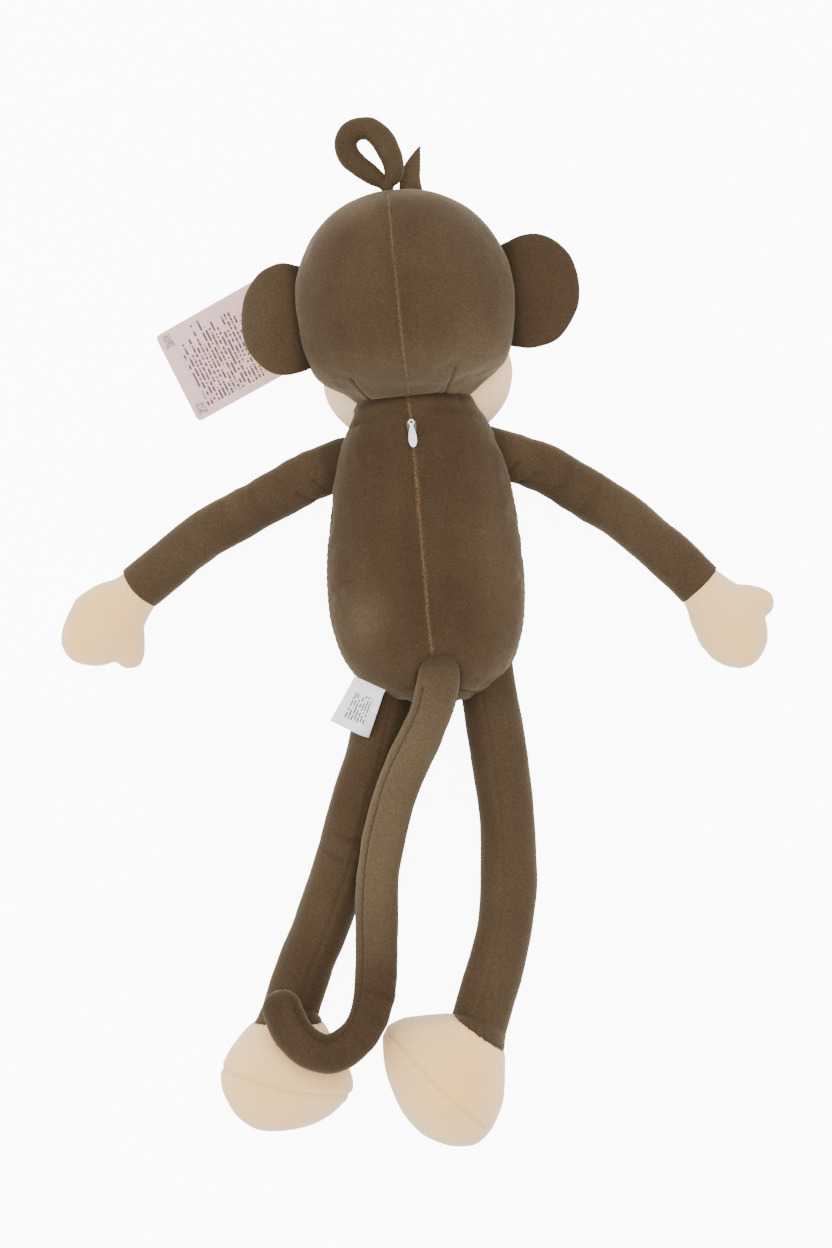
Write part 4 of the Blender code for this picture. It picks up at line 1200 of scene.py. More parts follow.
for side_name, (sole, root) in FEET.items():
    pad = np.array([(x, y, FOOT_MIDDLE_Z, w, h) for y, x, w, h in sole])
    line = smooth_line(pad, 0.0016)
    side, up = facing_y(len(line))
    shapes = [Bag("part", line[:, :3], side, up, line[:, 3], line[:, 4], 150, 2.15),
              limb_end("part", root)]
    folds = ((30.0, 0.0008), (90.0, 0.0002))
    foot = stuffed_end("foot_cover_" + side_name, shapes, [cream, brown], folds)
    plan = [np.array((*p, 0.0)) for p in FOOT_SEAMS[side_name]]
    seam_plan = smooth_line(plan, 0.002)
    gap, _ = near_line(foot.grid * (1.0, 1.0, 0.0), seam_plan)
    groove = bell(gap, 0.0013)
    foot.push(-0.0009 * groove + 0.0003 * bell(gap - 0.0035, 0.0018))
    mark(foot, "seam", 0.55 * bell(gap, 0.0007))
    # Painted shade in the groove of the sole seam.
    mark(foot, "shaded_crease", 0.10 * groove)
    a, b = CUFF_LINES[side_name]
    cuff = np.array((a[1] - b[1], b[0] - a[0])) / np.linalg.norm(b - a)
    beyond = (foot.grid[:, :2] - a) @ cuff
    foot.value("nap_and_shading")[beyond > 0] = 0.10
    foot.push(-0.0006 * bell(beyond, 0.0012))
    # Painted shade along the cuff line.
    mark(foot, "shaded_crease", 0.22 * bell(beyond, 0.0009))
    faces = foot.obj.data.polygons
    middles = np.empty(len(faces) * 3)
    faces.foreach_get("center", middles)
    above = (middles.reshape(-1, 3)[:, :2] - a) @ cuff > 0
    faces.foreach_set("material_index", above.astype(np.int32))
    feet[side_name] = foot

# %% [markdown]
# ## Ears and hair
# An ear is two D-shaped pieces, brown behind and cream in front, sewn round the
# curved edge and lightly stuffed, so it is a pad that thins out to its seam. The
# hair is a stuffed band, folded to a loop and pinched where it is sewn in, with
# one pointed tuft beside it.

# %% A pad from an outline
def pad_bag(name, outline, middle, thickness, z, rows, flat):
    """A pad that is widest in its middle plane: rings from the centre of its lower
    face, over the edge, to the centre of its upper face."""
    loop = smooth_line(np.vstack([outline, outline[:1]]), 0.0013)[:-1]
    edge = np.stack([loop[:, 0], loop[:, 1], np.full(len(loop), z)], axis=1)
    centre = np.array((*middle, z))
    tilt = np.linspace(-pi / 2, pi / 2, rows)
    reach = np.maximum(np.cos(tilt), 0.02)
    height = np.sign(tilt) * (1 - np.cos(tilt) ** flat) ** (1 / flat)
    bag = Bag.__new__(Bag)
    bag.name, bag.around, bag.values = name, len(loop), {}
    bag.angle = np.linspace(0, 2 * pi, len(loop), endpoint=False)
    bag.grid = centre + (edge - centre)[None] * reach[:, None, None]
    bag.grid[..., 2] += (height * thickness / 2)[:, None]
    return bag


EAR_OUTLINES = {
    "left": mm(
        (-50.5, 111), (-60, 108.2), (-69.5, 107.4), (-80, 111.5), (-88, 121.5), (-91.5, 132.5),
        (-91, 144.5), (-87.2, 156.5), (-79, 166.8), (-68, 171.5), (-58.5, 170), (-50, 164),
        (-47, 138),
    ),
    "right": mm(
        (56, 114.5), (64, 112), (74.5, 110.8), (88, 115), (97.5, 126), (102.2, 140), (101, 155),
        (95, 167), (85, 174.5), (73.5, 176), (64, 173), (55, 166), (52, 140),
    ),
}
EAR_Z = 0.0800
EAR_THICKNESS = 0.0190
ears = {}
for side_name, outline in EAR_OUTLINES.items():
    middle = outline.mean(axis=0)
    bag = pad_bag("ear_cover_" + side_name, outline, middle, EAR_THICKNESS, EAR_Z, 64, 2.0)
    bag.wrinkle(50.0, 0.0006, 2)
    rim = np.abs(bag.grid[..., 2] - EAR_Z)
    bag.push(-0.0005 * bell(rim, 0.0007))
    # Painted shade where the ear tucks under the head, and a painted highlight that grows away from it,
    # stronger on the left ear.
    inner = -0.0560 if side_name == "left" else 0.0615
    gap = np.abs(bag.grid[..., 0] - inner)
    mark(bag, "shaded_crease", 0.85 * bell(gap, 0.0060))
    bag.value("nap_and_shading")[:] = (0.30 if side_name == "left" else 0.12) * np.clip(gap / 0.030, 0, 1)
    bag.obj = bag.mesh([brown, cream], lambda p: p[:, 2] < EAR_Z)
    ears[side_name] = bag

# %% The loop of hair and the tuft
LOOP_Z = 0.0860
# X, Y, height over LOOP_Z and radius.
LOOP_ROUTE = mm(
    (-1.4, 204, 0, 2.8), (-3.6, 210, 0, 3.4), (-9.2, 215.5, -1, 5.2), (-17.1, 222.2, -1.8, 6.2),
    (-22.4, 229.2, -2, 6.6), (-23, 236.6, -1.6, 6.6), (-17.9, 242.2, -0.8, 6.5),
    (-10, 242.4, 0.4, 6.5), (-4, 237.6, 1.4, 6.6), (0.3, 229.5, 2, 6.6), (2.6, 221, 2.6, 6.1),
    (1.8, 213.5, 2.8, 5), (-0.8, 209, 2.4, 3.2), (-1.4, 203, 2, 2.8),
)
route = LOOP_ROUTE[:, :3] + (0.0, 0.0, LOOP_Z)
loop = tube_bag("hair_loop_cover", route, LOOP_ROUTE[:, 3], 0.0009, 0.005, 0.005)
loop.wrinkle(70.0, 0.0006, 2)
loop.value("nap_and_shading")[:] = 0.05
hair_loop_cover = loop.mesh([brown])
TUFT_OUTLINE = mm(
    (4.6, 203), (5.2, 211), (7, 217), (10.2, 222.8), (14.3, 228), (18.3, 231.6), (19.1, 229.6),
    (18.3, 221), (17.6, 213.8), (17.6, 203), (12, 200.5),
)
tuft = pad_bag("hair_tuft_cover", TUFT_OUTLINE, (0.0130, 0.2150), 0.0062, 0.0760, 30, 2.2)
tuft.wrinkle(80.0, 0.0004, 2)
tuft.value("nap_and_shading")[:] = 0.30
hair_tuft_cover = tuft.mesh([brown])

# %% [markdown]
# ## The zip
# The zip is an invisible one: when it is shut, only its slider and its drop-
# shaped pull show above the cloth. The pull is a thin cast plate with an eye,
# which hooks over the bridge of the slider.

# %% A plate from an outline, with a hole
def plate(name, outlines, low, high, material, bevel=0.0002, cut=3):
    """A flat outline made thick, with softened edges. Later outlines are holes."""
    curve = bpy.data.curves.new(name, "CURVE")
    curve.dimensions = "2D"
    curve.fill_mode = "BOTH"
    curve.extrude = (high - low) / 2 - bevel
    curve.bevel_depth = bevel
    curve.bevel_resolution = cut
    curve.offset = -bevel
    for outline in outlines:
        spline = curve.splines.new("POLY")
        spline.points.add(len(outline) - 1)
        for point, (px, py) in zip(spline.points, outline):
            point.co = (px, py, 0, 1)
        spline.use_cyclic_u = True
    helper = linked(name, curve)
    mesh = evaluated(helper)
    bpy.data.objects.remove(helper, do_unlink=True)
    shape = bmesh.new()
    shape.from_mesh(mesh)
    bmesh.ops.translate(shape, verts=shape.verts, vec=(0, 0, (low + high) / 2))
    bmesh.ops.remove_doubles(shape, verts=shape.verts, dist=1e-6)
    bmesh.ops.recalc_face_normals(shape, faces=shape.faces)
    shape.to_mesh(mesh)
    shape.free()
    mesh.name = name
    mesh.materials.clear()
    dress(mesh, [material])
    return linked(name, mesh)


def circle(cx, cy, r, count=32):
    """A ring of flat points, for a hole."""
    turn = np.linspace(0, 2 * pi, count, endpoint=False)
    return [(cx + r * cos(a), cy + r * sin(a)) for a in turn]


# %% The pull and the slider
lacquer = plastic("brown lacquer", (0.075, 0.048, 0.028), 0.40, 0.18)
pull_low, pull_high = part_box("zip_pull")
slider_low, slider_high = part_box("zip_slider")
print("slider", tuple(slider_low), tuple(slider_high), "pull", tuple(pull_low), tuple(pull_high))
TOP = pull_high.y
half_widths = mm(
    (0, 0), (0.3, 0.9), (1.8, 1.8), (3.1, 1.2), (4, 0.9), (5.2, 1.2), (7.5, 1.9), (10, 2.3),
    (12.5, 2.3), (14.5, 1.8), (15.7, 0.9), (16, 0),
)
edge = smooth_line([(w, TOP - down, 0.0) for down, w in half_widths], 0.0003)[:, :2]
outline = [tuple(p) for p in edge] + [(-px, py) for px, py in edge[-2:0:-1]]
zip_pull_plate = plate(
    "zip_pull_plate", [outline, circle(0.0, TOP - 0.0018, 0.0009)], pull_low.z, pull_high.z, white
)
span = slider_high - slider_low
middle = (slider_low + slider_high) / 2
half_x, half_y = span.x / 2, span.y / 2
shield = [(half_x * sx, middle.y + half_y * sy) for sx, sy in (
    (-0.55, -1.0), (-0.85, -0.80), (-0.90, -0.30), (-1.0, 0.30), (-1.0, 0.80), (-0.80, 1.0),
    (0.80, 1.0), (1.0, 0.80), (1.0, 0.30), (0.90, -0.30), (0.85, -0.80), (0.55, -1.0))]
zip_slider_body = plate("zip_slider_body", [shield], slider_low.z, slider_low.z + 0.0009, lacquer)
bridge = tube_bag(
    "zip_slider_bridge",
    [(0, middle.y + 0.0020, slider_low.z + 0.0006), (0, middle.y + 0.0019, slider_low.z + 0.0017),
     (0, middle.y + 0.0005, slider_low.z + 0.0021), (0, middle.y - 0.0016, slider_low.z + 0.0017),
     (0, middle.y - 0.0018, slider_low.z + 0.0006)],
    0.00055, 0.00025, 0.0004, 0.0004,
)
zip_bridge = bridge.mesh([white])

# %% [markdown]
# ## Labels
# The care label is a satin ribbon folded in two, with both ends caught in a seam
# of the body. The hang tag is a printed card on a thin plastic fastener that goes
# through it into the head. Their print is only rows of dashes of uneven length,
# made from noise along each row.

# %% Printed rows
def printed(tree, rows, per_row, first, last, left, right, seed, turned=False, ragged=0.0):
    """1 where a row of dashes has ink. U runs along the rows and V across them, or the
    other way round when turned. ragged is how much shorter some rows end."""
    uv = tree.nodes.new("ShaderNodeUVMap")
    uv.uv_map = "sheet"
    parts = add(tree, "SeparateXYZ", Vector=uv.outputs[0])
    u, v = parts.outputs[0], parts.outputs[1]
    if turned:
        u, v = v, u
    row = math(tree, "MULTIPLY", v, rows)
    index = math(tree, "FLOOR", row, 0.0)
    within = math(tree, "FRACT", row, 0.0)
    dash = math(tree, "MULTIPLY", u, per_row)
    place = add(tree, "CombineXYZ", X=dash, Y=math(tree, "MULTIPLY", index, 7.31), Z=seed)
    ink = add(tree, "TexNoise", Vector=place.outputs[0], Scale=1.0, Detail=1.0).outputs[0]
    mask = math(tree, "GREATER_THAN", ink, 0.45)
    if ragged:
        line_end = tree.nodes.new("ShaderNodeTexWhiteNoise")
        line_end.noise_dimensions = "1D"
        connect(tree, line_end, W=math(tree, "ADD", index, seed))
        short = math(tree, "MULTIPLY", line_end.outputs["Value"], ragged)
        space = math(tree, "SUBTRACT", right, short)
        mask = math(tree, "MULTIPLY", mask, math(tree, "LESS_THAN", u, space))
    for value, low, high in ((within, 0.24, 0.78), (v, first, last), (u, left, right)):
        mask = math(tree, "MULTIPLY", mask, math(tree, "GREATER_THAN", value, low))
        mask = math(tree, "MULTIPLY", mask, math(tree, "LESS_THAN", value, high))
    return mask


satin, tree, shader = node_tree("white satin")
ink = printed(tree, 13.0, 40.0, 0.22, 0.80, 0.60, 0.90, 4.0, ragged=0.06)
cloud = remap(tree, noise_of(tree, 260.0, 2.0), 0.3, 0.7, 0.92, 1.05)
cloth = mix(tree, 1.0, (0.86, 0.86, 0.87, 1), cloud, "MULTIPLY")
faded = math(tree, "MULTIPLY", ink, 0.92)
printed_cloth = mix(tree, faded, cloth, (0.05, 0.045, 0.05, 1))
weave = bump(tree, noise_of(tree, 2400.0, 1.0, 0.5, (1.0, 6.0, 1.0)), 0.25, 0.0002)
connect(tree, shader, Base_Color=printed_cloth, Normal=weave, Roughness=0.42, Sheen_Weight=0.25)

card, tree, shader = node_tree("pink card")
rows = printed(tree, 31.0, 40.0, 0.12, 0.97, 0.09, 0.93, 9.0, True, 0.30)
marks = [printed(tree, 60.0, 55.0, 0.040, 0.115, low, high, 2.5, True)
         for low, high in ((0.05, 0.17), (0.82, 0.96))]
pulp = remap(tree, noise_of(tree, 420.0, 3.0, 0.6), 0.3, 0.7, 0.94, 1.04)
board = mix(tree, 1.0, (0.74, 0.465, 0.445, 1), pulp, "MULTIPLY")
first = mix(tree, math(tree, "MULTIPLY", rows, 0.93), board, (0.030, 0.018, 0.018, 1))
both = mix(tree, math(tree, "ADD", *marks), first, (0.02, 0.012, 0.012, 1))
rough_card = bump(tree, noise_of(tree, 1500.0, 2.0), 0.15, 0.0002)
connect(tree, shader, Base_Color=both, Normal=rough_card, Roughness=0.5)
print("materials", satin.name, card.name)

# %% A thin sheet with two sides
def thin_sheet(name, middle, thickness, material, uv):
    """A closed, thin solid over a grid of points (rows along, columns across)."""
    rows, cols = middle.shape[:2]
    along = np.gradient(middle, axis=0)
    across = np.gradient(middle, axis=1)
    normal = unit(np.cross(along, across)) * thickness / 2
    points = np.concatenate([(middle + normal).reshape(-1, 3), (middle - normal).reshape(-1, 3)])
    half = rows * cols
    faces = []
    for r in range(rows - 1):
        for c in range(cols - 1):
            a = r * cols + c
            faces.append((a, a + cols, a + cols + 1, a + 1))
            faces.append((half + a, half + a + 1, half + a + cols + 1, half + a + cols))
    rim = [(0, c) for c in range(cols)] + [(r, cols - 1) for r in range(1, rows)]
    rim += [(rows - 1, c) for c in range(cols - 2, -1, -1)]
    rim += [(r, 0) for r in range(rows - 2, 0, -1)]
    ids = [r * cols + c for r, c in rim]
    for a, b in zip(ids, ids[1:] + ids[:1]):
        faces.append((a, b, half + b, half + a))
    mesh = bpy.data.meshes.new(name)
    mesh.from_pydata(points.tolist(), [], faces)
    layer = mesh.uv_layers.new(name="sheet")
    flat_uv = np.vstack([uv.reshape(-1, 2)] * 2)
    loops = np.empty(len(mesh.loops), np.int32)
    mesh.loops.foreach_get("vertex_index", loops)
    layer.data.foreach_set("uv", flat_uv[loops].ravel().astype(np.float32))
    shape = bmesh.new()
    shape.from_mesh(mesh)
    bmesh.ops.recalc_face_normals(shape, faces=shape.faces)
    shape.to_mesh(mesh)
    shape.free()
    dress(mesh, [material])
    return linked(name, mesh)


# %% The care label
LABEL_WIDTH, LABEL_REACH, LABEL_CLOTH = 0.0250, 0.0258, 0.00022
LABEL_COLUMNS = 42
LABEL_TURN = radians(-118)
label_root = np.array((-0.0385, -0.0745, 0.0600))
out = unit(np.array((cos(LABEL_TURN), sin(LABEL_TURN), -0.105)))
wide = unit(np.cross((0.0, 0.0, 1.0), out))
rise = np.cross(out, wide)
profile = smooth_line(
    ((-0.0040, 0.0, -0.0004), (0.0060, 0.0, -0.0010), (0.0160, 0.0, -0.0014),
     (0.0235, 0.0, -0.0010), (LABEL_REACH, 0.0, 0.0), (0.0237, 0.0, 0.0010),
     (0.0165, 0.0, 0.0013), (0.0070, 0.0, 0.0009), (-0.0040, 0.0, 0.0004)), 0.0006)
label_grid = np.zeros((len(profile), LABEL_COLUMNS, 3))
for index, t in enumerate(np.linspace(-1, 1, LABEL_COLUMNS)):
    reach = profile[:, 0]
    share = reach / LABEL_REACH
    open_up = 1.0 + 1.1 * max(0.0, t) ** 2
    curl = -0.0085 * max(0.0, t - 0.25) ** 2 - 0.0015 * max(0.0, -t - 0.4) ** 2
    lift = profile[:, 2] * open_up + curl * share + 0.0008 * sin(2.6 * t + 0.6) * share**2
    half = LABEL_WIDTH / 2 * (0.78 + 0.22 * np.clip(share, 0, 1)) * (1 - 0.06 * max(0.0, t) * share)
    label_grid[:, index] = (
        label_root + out * reach[:, None] * (1 + 0.02 * t) + rise * lift[:, None]
        + wide * (t * half)[:, None]
    )
lengths = np.r_[0, np.cumsum(np.linalg.norm(np.diff(profile, axis=0), axis=1))]
across = np.linspace(0, 1, LABEL_COLUMNS)
uv = np.stack(np.meshgrid(lengths / lengths[-1], across, indexing="ij"), axis=-1)
label_sheet = thin_sheet("care_label_ribbon", label_grid, LABEL_CLOTH, satin, uv)
print("ribbon length", round(lengths[-1], 4))

# %% The hang tag
TAG_LENGTH, TAG_WIDTH, TAG_CARD = 0.0780, 0.0565, 0.0006
TAG_HOLE = TAG_LENGTH - 0.008
tag_start = np.array((-0.1355, 0.1168, 0.0010))
TAG_LIE, TAG_RISE = radians(21.9), radians(24.0)
tag_along = np.array((cos(TAG_RISE) * cos(TAG_LIE), cos(TAG_RISE) * sin(TAG_LIE), sin(TAG_RISE)))
tag_wide = np.array((-sin(TAG_LIE), cos(TAG_LIE), 0.0))
tag_up = np.cross(tag_along, tag_wide)
corner, outline = 0.0030, []
for cx, cy, start in ((TAG_LENGTH - corner, TAG_WIDTH / 2 - corner, 0.0),
                      (corner, TAG_WIDTH / 2 - corner, 0.5 * pi),
                      (corner, -TAG_WIDTH / 2 + corner, pi),
                      (TAG_LENGTH - corner, -TAG_WIDTH / 2 + corner, 1.5 * pi)):
    outline += [(cx + corner * cos(start + a), cy + corner * sin(start + a))
                for a in np.linspace(0, pi / 2, 7)]
tag_card = plate("hang_tag_card", [outline, circle(TAG_HOLE, 0.0, 0.0018)],
                 -TAG_CARD / 2, TAG_CARD / 2, card, 0.0001, 1)
layer = tag_card.data.uv_layers.new(name="sheet")
for loop_item in tag_card.data.loops:
    spot = tag_card.data.vertices[loop_item.vertex_index].co
    layer.data[loop_item.index].uv = (spot.x / TAG_LENGTH, spot.y / TAG_WIDTH + 0.5)
turn = Matrix((tag_along, tag_wide, tag_up)).transposed().to_4x4()
tag_card.data.transform(Matrix.Translation(Vector(tag_start)) @ turn)
print("tag card faces", len(tag_card.data.polygons))
hole = tag_start + tag_along * TAG_HOLE
FASTENER_ROOT = (-0.0610, 0.1480, 0.0690)
fastener = tube_bag(
    "tag_fastener_line",
    [hole - tag_up * 0.0012, hole + tag_up * 0.0010, hole + (0.0016, 0.0010, 0.0120),
     hole + (0.0060, 0.0030, 0.0260), FASTENER_ROOT],
    0.0005, 0.0003, 0.0004, 0.0004,
)
fastener_line = fastener.mesh([white])
under = hole - tag_up * 0.0014
bar_route = [under + tag_wide * k for k in (-0.004, -0.001, 0.002, 0.004)]
bar = tube_bag("tag_fastener_bar", bar_route, 0.0007, 0.0003, 0.0005, 0.0005)
fastener_bar = bar.mesh([white])

# %% [markdown]
# ## Thread
# Stitches repeat along a seam, so each row is one Geometry Nodes tree: it takes a
# drawn line, spaces points along it, and puts a short thread at each point, turned
# left and right by turns for the zig-zag. The modifier is applied at the end, so
# that only a plain mesh is left.

# %% Thread materials
def thread(name, colour, seed):
    material, tree, shader = node_tree(name)
    ply = remap(tree, noise_of(tree, 1800.0, 2.0, 0.6, seed=seed), 0.3, 0.7, 0.7, 1.2)
    plied = mix(tree, 1.0, (*colour, 1), ply, "MULTIPLY")
    twist = bump(tree, noise_of(tree, 3000.0, 1.0, seed=seed), 0.4, 0.0002)
    connect(tree, shader, Base_Color=plied, Normal=twist, Roughness=0.7)
    return material


tan_thread = thread("tan thread", (0.250, 0.150, 0.075), 1.0)
brown_thread = thread("brown thread", (0.095, 0.058, 0.032), 2.0)
dark_thread = thread("dark thread", (0.045, 0.026, 0.016), 4.0)
print("threads", tan_thread.name, brown_thread.name, dark_thread.name)


# %% The stitch tree
STITCH_SIZES = ("Pitch", "Stitch length", "Thread radius", "Zig-zag angle")


def stitch_tree(name, material):
    """The node tree of a row, and the identifier of each of its sizes."""
    tree = bpy.data.node_groups.new(name, "GeometryNodeTree")
    face = tree.interface
    face.new_socket("Geometry", in_out="INPUT", socket_type="NodeSocketGeometry")
    sizes = {}
    for label in STITCH_SIZES:
        socket = face.new_socket(label, in_out="INPUT", socket_type="NodeSocketFloat")
        sizes[label] = socket.identifier
    face.new_socket("Geometry", in_out="OUTPUT", socket_type="NodeSocketGeometry")

    def node(kind, **inputs):
        return connect(tree, tree.nodes.new(kind), **inputs)

    given = node("NodeGroupInput").outputs
    # One point per stitch along the drawn line.
    curve = node("GeometryNodeMeshToCurve", Mesh=given["Geometry"])
    spaced = node("GeometryNodeResampleCurve", Curve=curve.outputs[0])
    spaced.mode = "LENGTH"
    connect(tree, spaced, Length=given["Pitch"])
    # Each stitch stands on the cloth, points along the line and swings left or right.
    way = node("GeometryNodeInputNamedAttribute", Name="out")
    way.data_type = "FLOAT_VECTOR"
    upright = node("FunctionNodeAlignRotationToVector", Vector=way.outputs["Attribute"])
    upright.axis = "Z"
    ahead = node("FunctionNodeAlignRotationToVector", Rotation=upright.outputs[0])
    ahead.axis = "X"
    ahead.pivot_axis = "Z"
    connect(tree, ahead, Vector=node("GeometryNodeInputTangent").outputs[0])
    parity = math(tree, "MODULO", node("GeometryNodeInputIndex").outputs[0], 2.0)
    double = math(tree, "MULTIPLY", given["Zig-zag angle"], 2.0)
    minus = math(tree, "MULTIPLY", given["Zig-zag angle"], -1.0)
    swing = node("ShaderNodeCombineXYZ", Z=math(tree, "MULTIPLY_ADD", parity, double, minus))
    turn = node("FunctionNodeEulerToRotation", Euler=swing.outputs[0])
    local = node("FunctionNodeRotateRotation", Rotation=ahead.outputs[0])
    local.rotation_space = "LOCAL"
    connect(tree, local, Rotate_By=turn.outputs[0])
    keep = node("GeometryNodeCaptureAttribute", Geometry=spaced.outputs[0])
    keep.capture_items.new("ROTATION", "turn")
    connect(tree, keep, turn=local.outputs[0])
    points = node("GeometryNodeCurveToPoints", Curve=keep.outputs["Geometry"])
    points.mode = "EVALUATED"
    # A stretched ball at each point is one stitch of thread.
    ball = node("GeometryNodeMeshUVSphere", Segments=6, Rings=5, Radius=1.0)
    thick = given["Thread radius"]
    half = math(tree, "MULTIPLY", given["Stitch length"], 0.5)
    size = node("ShaderNodeCombineXYZ", X=half, Y=thick, Z=thick)
    placed = node("GeometryNodeInstanceOnPoints", Points=points.outputs[0],
                  Instance=ball.outputs[0], Rotation=keep.outputs["turn"], Scale=size.outputs[0])
    real = node("GeometryNodeRealizeInstances", Geometry=placed.outputs[0])
    painted = node("GeometryNodeSetMaterial", Geometry=real.outputs[0], Material=material)
    node("NodeGroupOutput", Geometry=painted.outputs[0])
    return tree, sizes


def stitches(name, line, outward, material, *values):
    """A row of stitches along a line, as a plain mesh. values are the STITCH_SIZES."""
    mesh = bpy.data.meshes.new(name)
    mesh.from_pydata(line.tolist(), [(k, k + 1) for k in range(len(line) - 1)], [])
    layer = mesh.attributes.new("out", "FLOAT_VECTOR", "POINT")
    layer.data.foreach_set("vector", np.asarray(outward, np.float32).ravel())
    obj = linked(name, mesh)
    tree, sizes = stitch_tree(name + "_tree", material)
    row = obj.modifiers.new("stitches", "NODES")
    row.node_group = tree
    for label, value in zip(STITCH_SIZES, values):
        row[sizes[label]] = value
    done = evaluated(obj)
    obj.modifiers.clear()
    obj.data = done
    done.name = name
    dress(done)
    print(name, "faces", len(done.polygons))
    return obj


def lie_on(bag, line, sink):
    """A line moved on to the surface of a bag and sunk a little, and the ways out along it."""
    flat = bag.grid.reshape(-1, 3)
    normal = bag.normals().reshape(-1, 3)
    placed, outward = [], []
    for spot in line:
        gaps = np.linalg.norm(flat - spot, axis=1)
        nearest = np.argsort(gaps)[:6]
        weight = 1 / (gaps[nearest] + 1e-5)
        placed.append((flat[nearest] * weight[:, None]).sum(0) / weight.sum())
        outward.append(unit((normal[nearest] * weight[:, None]).sum(0)))
    outward = np.array(outward)
    soft = np.array(placed)
    for _ in range(2):
        soft[1:-1] = (soft[:-2] + 2 * soft[1:-1] + soft[2:]) / 4
    return soft - outward * sink, outward


# %% Rows of stitches
line, ways = lie_on(head, head_seam, 0.00002)
head_stitches = stitches("head_stitches", line, ways, tan_thread, 0.0013, 0.0013, 0.00011, 0.85)
line, ways = lie_on(body, body_seam, 0.00002)
body_stitches = stitches("back_stitches", line, ways, tan_thread, 0.0012, 0.0018, 0.00012, 0.95)
line, ways = lie_on(tail, tail_seam, 0.00002)
tail_stitches = stitches("tail_stitches", line, ways, brown_thread, 0.0021, 0.0013, 0.00012, 0.0)


# %% Thread of the mouth
mouth_route, _ = lie_on(muzzle, mouth_line, -0.0001)
mouth_rope = tube_bag("mouth_stitch", mouth_route, 0.0006, 0.0004, 0.0006, 0.0006)
mouth_rope_obj = mouth_rope.mesh([dark_thread])

# %% [markdown]
# ## Joining the pieces to the joints
# A stiff piece rides on one body. A cover that crosses a joint bends between two
# bodies, over the short stretch where the real cloth is loose. Each cover hides the
# plain solids it stands for.

# %% Rides and bends
def soft(obj, fill, slot_name, *replaced):
    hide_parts(*replaced)


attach(torso_cover, "torso")
soft(torso_cover, 0.85, "brown_velour", "torso_back_left", "torso_back_right", "torso_front",
     "torso_filling", "zip_tape_left", "zip_tape_right", "zip_coil", "zip_bottom_stop")
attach(head_cover, "head")
soft(head_cover, 0.9, "brown_velour", "head_back_left", "head_back_right", "face_panel",
     "head_filling")
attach(muzzle_cover, "head")
soft(muzzle_cover, 0.85, "cream_velour", "muzzle_panel", "muzzle_filling")
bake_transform(hair_loop_cover, "head", "hair_loop", (-0.003, 0.2080, LOOP_Z), (-0.003, 0.2190, LOOP_Z))
soft(hair_loop_cover, 0.6, "brown_velour", "hair_loop")
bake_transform(hair_tuft_cover, "head", "hair_tuft", (0.012, 0.2080, 0.076), (0.012, 0.2180, 0.076))
soft(hair_tuft_cover, 0.5, "brown_velour", "hair_tuft")
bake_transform(tail_cover, "torso", "tail", (0.003, -0.0640, 0.0760), (-0.001, -0.0850, 0.0745))
soft(tail_cover, 0.8, "brown_velour", "tail_sleeve", "tail_filling")
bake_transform(tail_stitches, "torso", "tail", (0.003, -0.0640, 0.0760), (-0.001, -0.0850, 0.0745))
BENDS = {
    "arm_left": ((-0.0480, 0.0550, 0.0450), (-0.0700, 0.0472, 0.0410)),
    "arm_right": ((0.0480, 0.0550, 0.0450), (0.0700, 0.0460, 0.0410)),
    "leg_left": ((-0.0280, -0.0820, 0.0400), (-0.0370, -0.1080, 0.0340)),
    "leg_right": ((0.0312, -0.0820, 0.0400), (0.0332, -0.1080, 0.0340)),
    "ear_left": ((-0.0540, 0.1400, 0.0800), (-0.0670, 0.1400, 0.0800)),
    "ear_right": ((0.0580, 0.1440, 0.0800), (0.0715, 0.1440, 0.0800)),
}
for side_name in ("left", "right"):
    for kind, bags, nodes_in in (("arm", arms, ("sleeve", "filling")),
                                 ("leg", legs, ("sleeve", "filling")),
                                 ("ear", ears, ("back", "front"))):
        limb = kind + "_" + side_name
        base = "head" if kind == "ear" else "torso"
        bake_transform(bags[side_name].obj, base, limb, *BENDS[limb])
        soft(bags[side_name].obj, 0.8, "brown_velour", *[limb + "_" + n for n in nodes_in])
    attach(hands[side_name].finish(), "hand_" + side_name)
    soft(hands[side_name].obj, 0.8, "cream_velour", "hand_%s_cover" % side_name,
         "hand_%s_filling" % side_name)
    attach(feet[side_name].finish(), "foot_" + side_name)
    soft(feet[side_name].obj, 0.85, "cream_velour", "foot_%s_upper" % side_name,
         "foot_%s_sole" % side_name, "foot_%s_filling" % side_name)
    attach(eyes[side_name], "head")
    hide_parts("eye_" + side_name)
for obj, body_name, slot_name, replaced in (
    (nose_knob, "head", "black_plastic", ("nose",)),
    (mouth_rope_obj, "head", "dark_thread", ("mouth_thread",)),
    (head_stitches, "head", "dark_thread", ()),
    (body_stitches, "torso", "dark_thread", ()),
    (zip_pull_plate, "zip_pull", "white_plastic", ("zip_pull",)),
    (zip_slider_body, "zip_slider", "white_plastic", ("zip_slider",)),
    (zip_bridge, "zip_slider", "white_plastic", ()),
    (label_sheet, "care_label", "white_satin", ("care_label",)),
    (tag_card, "hang_tag", "pink_card", ("hang_tag",)),
    (fastener_bar, "hang_tag", "white_plastic", ()),
):
    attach(obj, body_name)
    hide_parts(*replaced)
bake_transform(fastener_line, "head", "hang_tag", FASTENER_ROOT, tuple(hole + tag_up * 0.0020))
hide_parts("tag_fastener")
print("bends", list(BENDS))

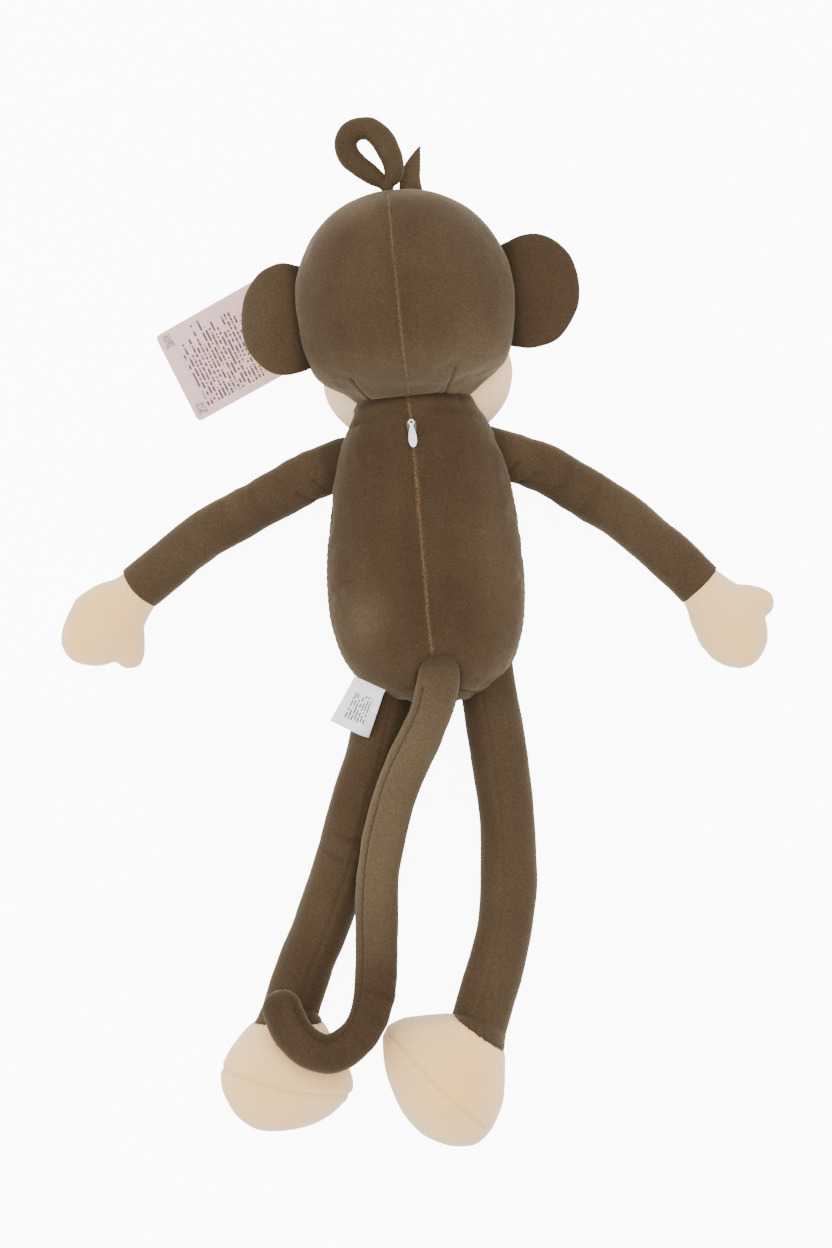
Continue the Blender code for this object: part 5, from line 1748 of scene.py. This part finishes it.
# %% The hidden solids that stay
fibre, tree, shader = node_tree("stuffing fibre")
tuftiness = remap(tree, noise_of(tree, 300.0, 4.0, 0.7), 0.3, 0.7)
cloudy = mix(tree, tuftiness, (0.70, 0.69, 0.66, 1), (0.86, 0.85, 0.82, 1))
connect(tree, shader, Base_Color=cloudy, Roughness=1.0)
for name, material in (("neck_filling", fibre), ("eye_washer_left", white),
                       ("eye_washer_right", white), ("nose_washer", white)):
    nodes[name].data.materials.clear()
    nodes[name].data.materials.append(material)
    print(name, "wears", material.name)

# %% [markdown]
# ## Floor, light and camera
# The toy lies on a plain white floor under one very large soft light and a weaker
# one at its left, with a pale sky all round, so its edges show against white and the
# shadows are faint. The camera looks straight down from two metres, turned five
# degrees.

# %% Floor and light
FLOOR_HALF = 8.0
FLOOR_DROP = 0.0002
FLOOR_GLOW = 1.2
FLOOR_GLOW_SEEN = 8.0
corners = [(FLOOR_HALF * i, FLOOR_HALF * j, 0) for i, j in ((-1, -1), (1, -1), (1, 1), (-1, 1))]
floor_mesh = bpy.data.meshes.new("floor")
floor_mesh.from_pydata(corners, [], [(0, 1, 2, 3)])
floor = linked("floor", floor_mesh)
floor.location.z = -FLOOR_DROP
paper, tree, shader = node_tree("white paper")
mottle = remap(tree, noise_of(tree, 3.0, 2.0), 0.3, 0.7)
sheet_white = mix(tree, mottle, (0.93, 0.93, 0.93, 1), (0.96, 0.96, 0.96, 1))
seen = add(tree, "LightPath").outputs["Is Camera Ray"]
glow = math(tree, "ADD", math(tree, "MULTIPLY", seen, FLOOR_GLOW_SEEN), FLOOR_GLOW)
connect(tree, shader, Base_Color=sheet_white, Roughness=0.9,
        Emission_Color=(1.0, 1.0, 1.0, 1), Emission_Strength=glow)
floor_mesh.materials.append(paper)
floor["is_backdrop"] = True

world = bpy.data.worlds.new("pale sky")
bpy.context.scene.world = world
world.use_nodes = True
sky = world.node_tree
connect(sky, sky.nodes["Background"], Color=(1.0, 1.0, 1.0, 1), Strength=1.25)


def lamp(name, place, target, size, power):
    """A square light that faces a target."""
    light = bpy.data.lights.new(name, "AREA")
    light.shape = "SQUARE"
    light.size = size
    light.energy = power
    obj = linked(name, light)
    obj.location = place
    obj.rotation_euler = (Vector(target) - Vector(place)).to_track_quat("-Z", "Y").to_euler()


lamp("overhead", (0.15, 0.35, 1.9), (0.0, 0.0, 0.0), 1.6, 44.0)
lamp("side", (-1.6, -0.4, 1.2), (0.0, 0.0, 0.05), 1.2, 14.0)
print("floor half width", FLOOR_HALF, "lamps", [light.name for light in bpy.data.lights])

# %% Camera
CAMERA_HEIGHT = 2.0
VIEW_LENGTH = 0.724
SENSOR = 36.0
view_data = bpy.data.cameras.new("camera")
view_data.sensor_width = SENSOR
view_data.lens = SENSOR * CAMERA_HEIGHT / VIEW_LENGTH
camera = linked("camera", view_data)
camera.location = (-0.0073, -0.0397, 0.040 + CAMERA_HEIGHT)
camera.rotation_euler = (0.0, 0.0, radians(-5.0))
bpy.context.scene.camera = camera
print("camera lens", round(view_data.lens, 1))

# %% Measure the size and finish
low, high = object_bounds()
print("visual", tuple(low), tuple(high))
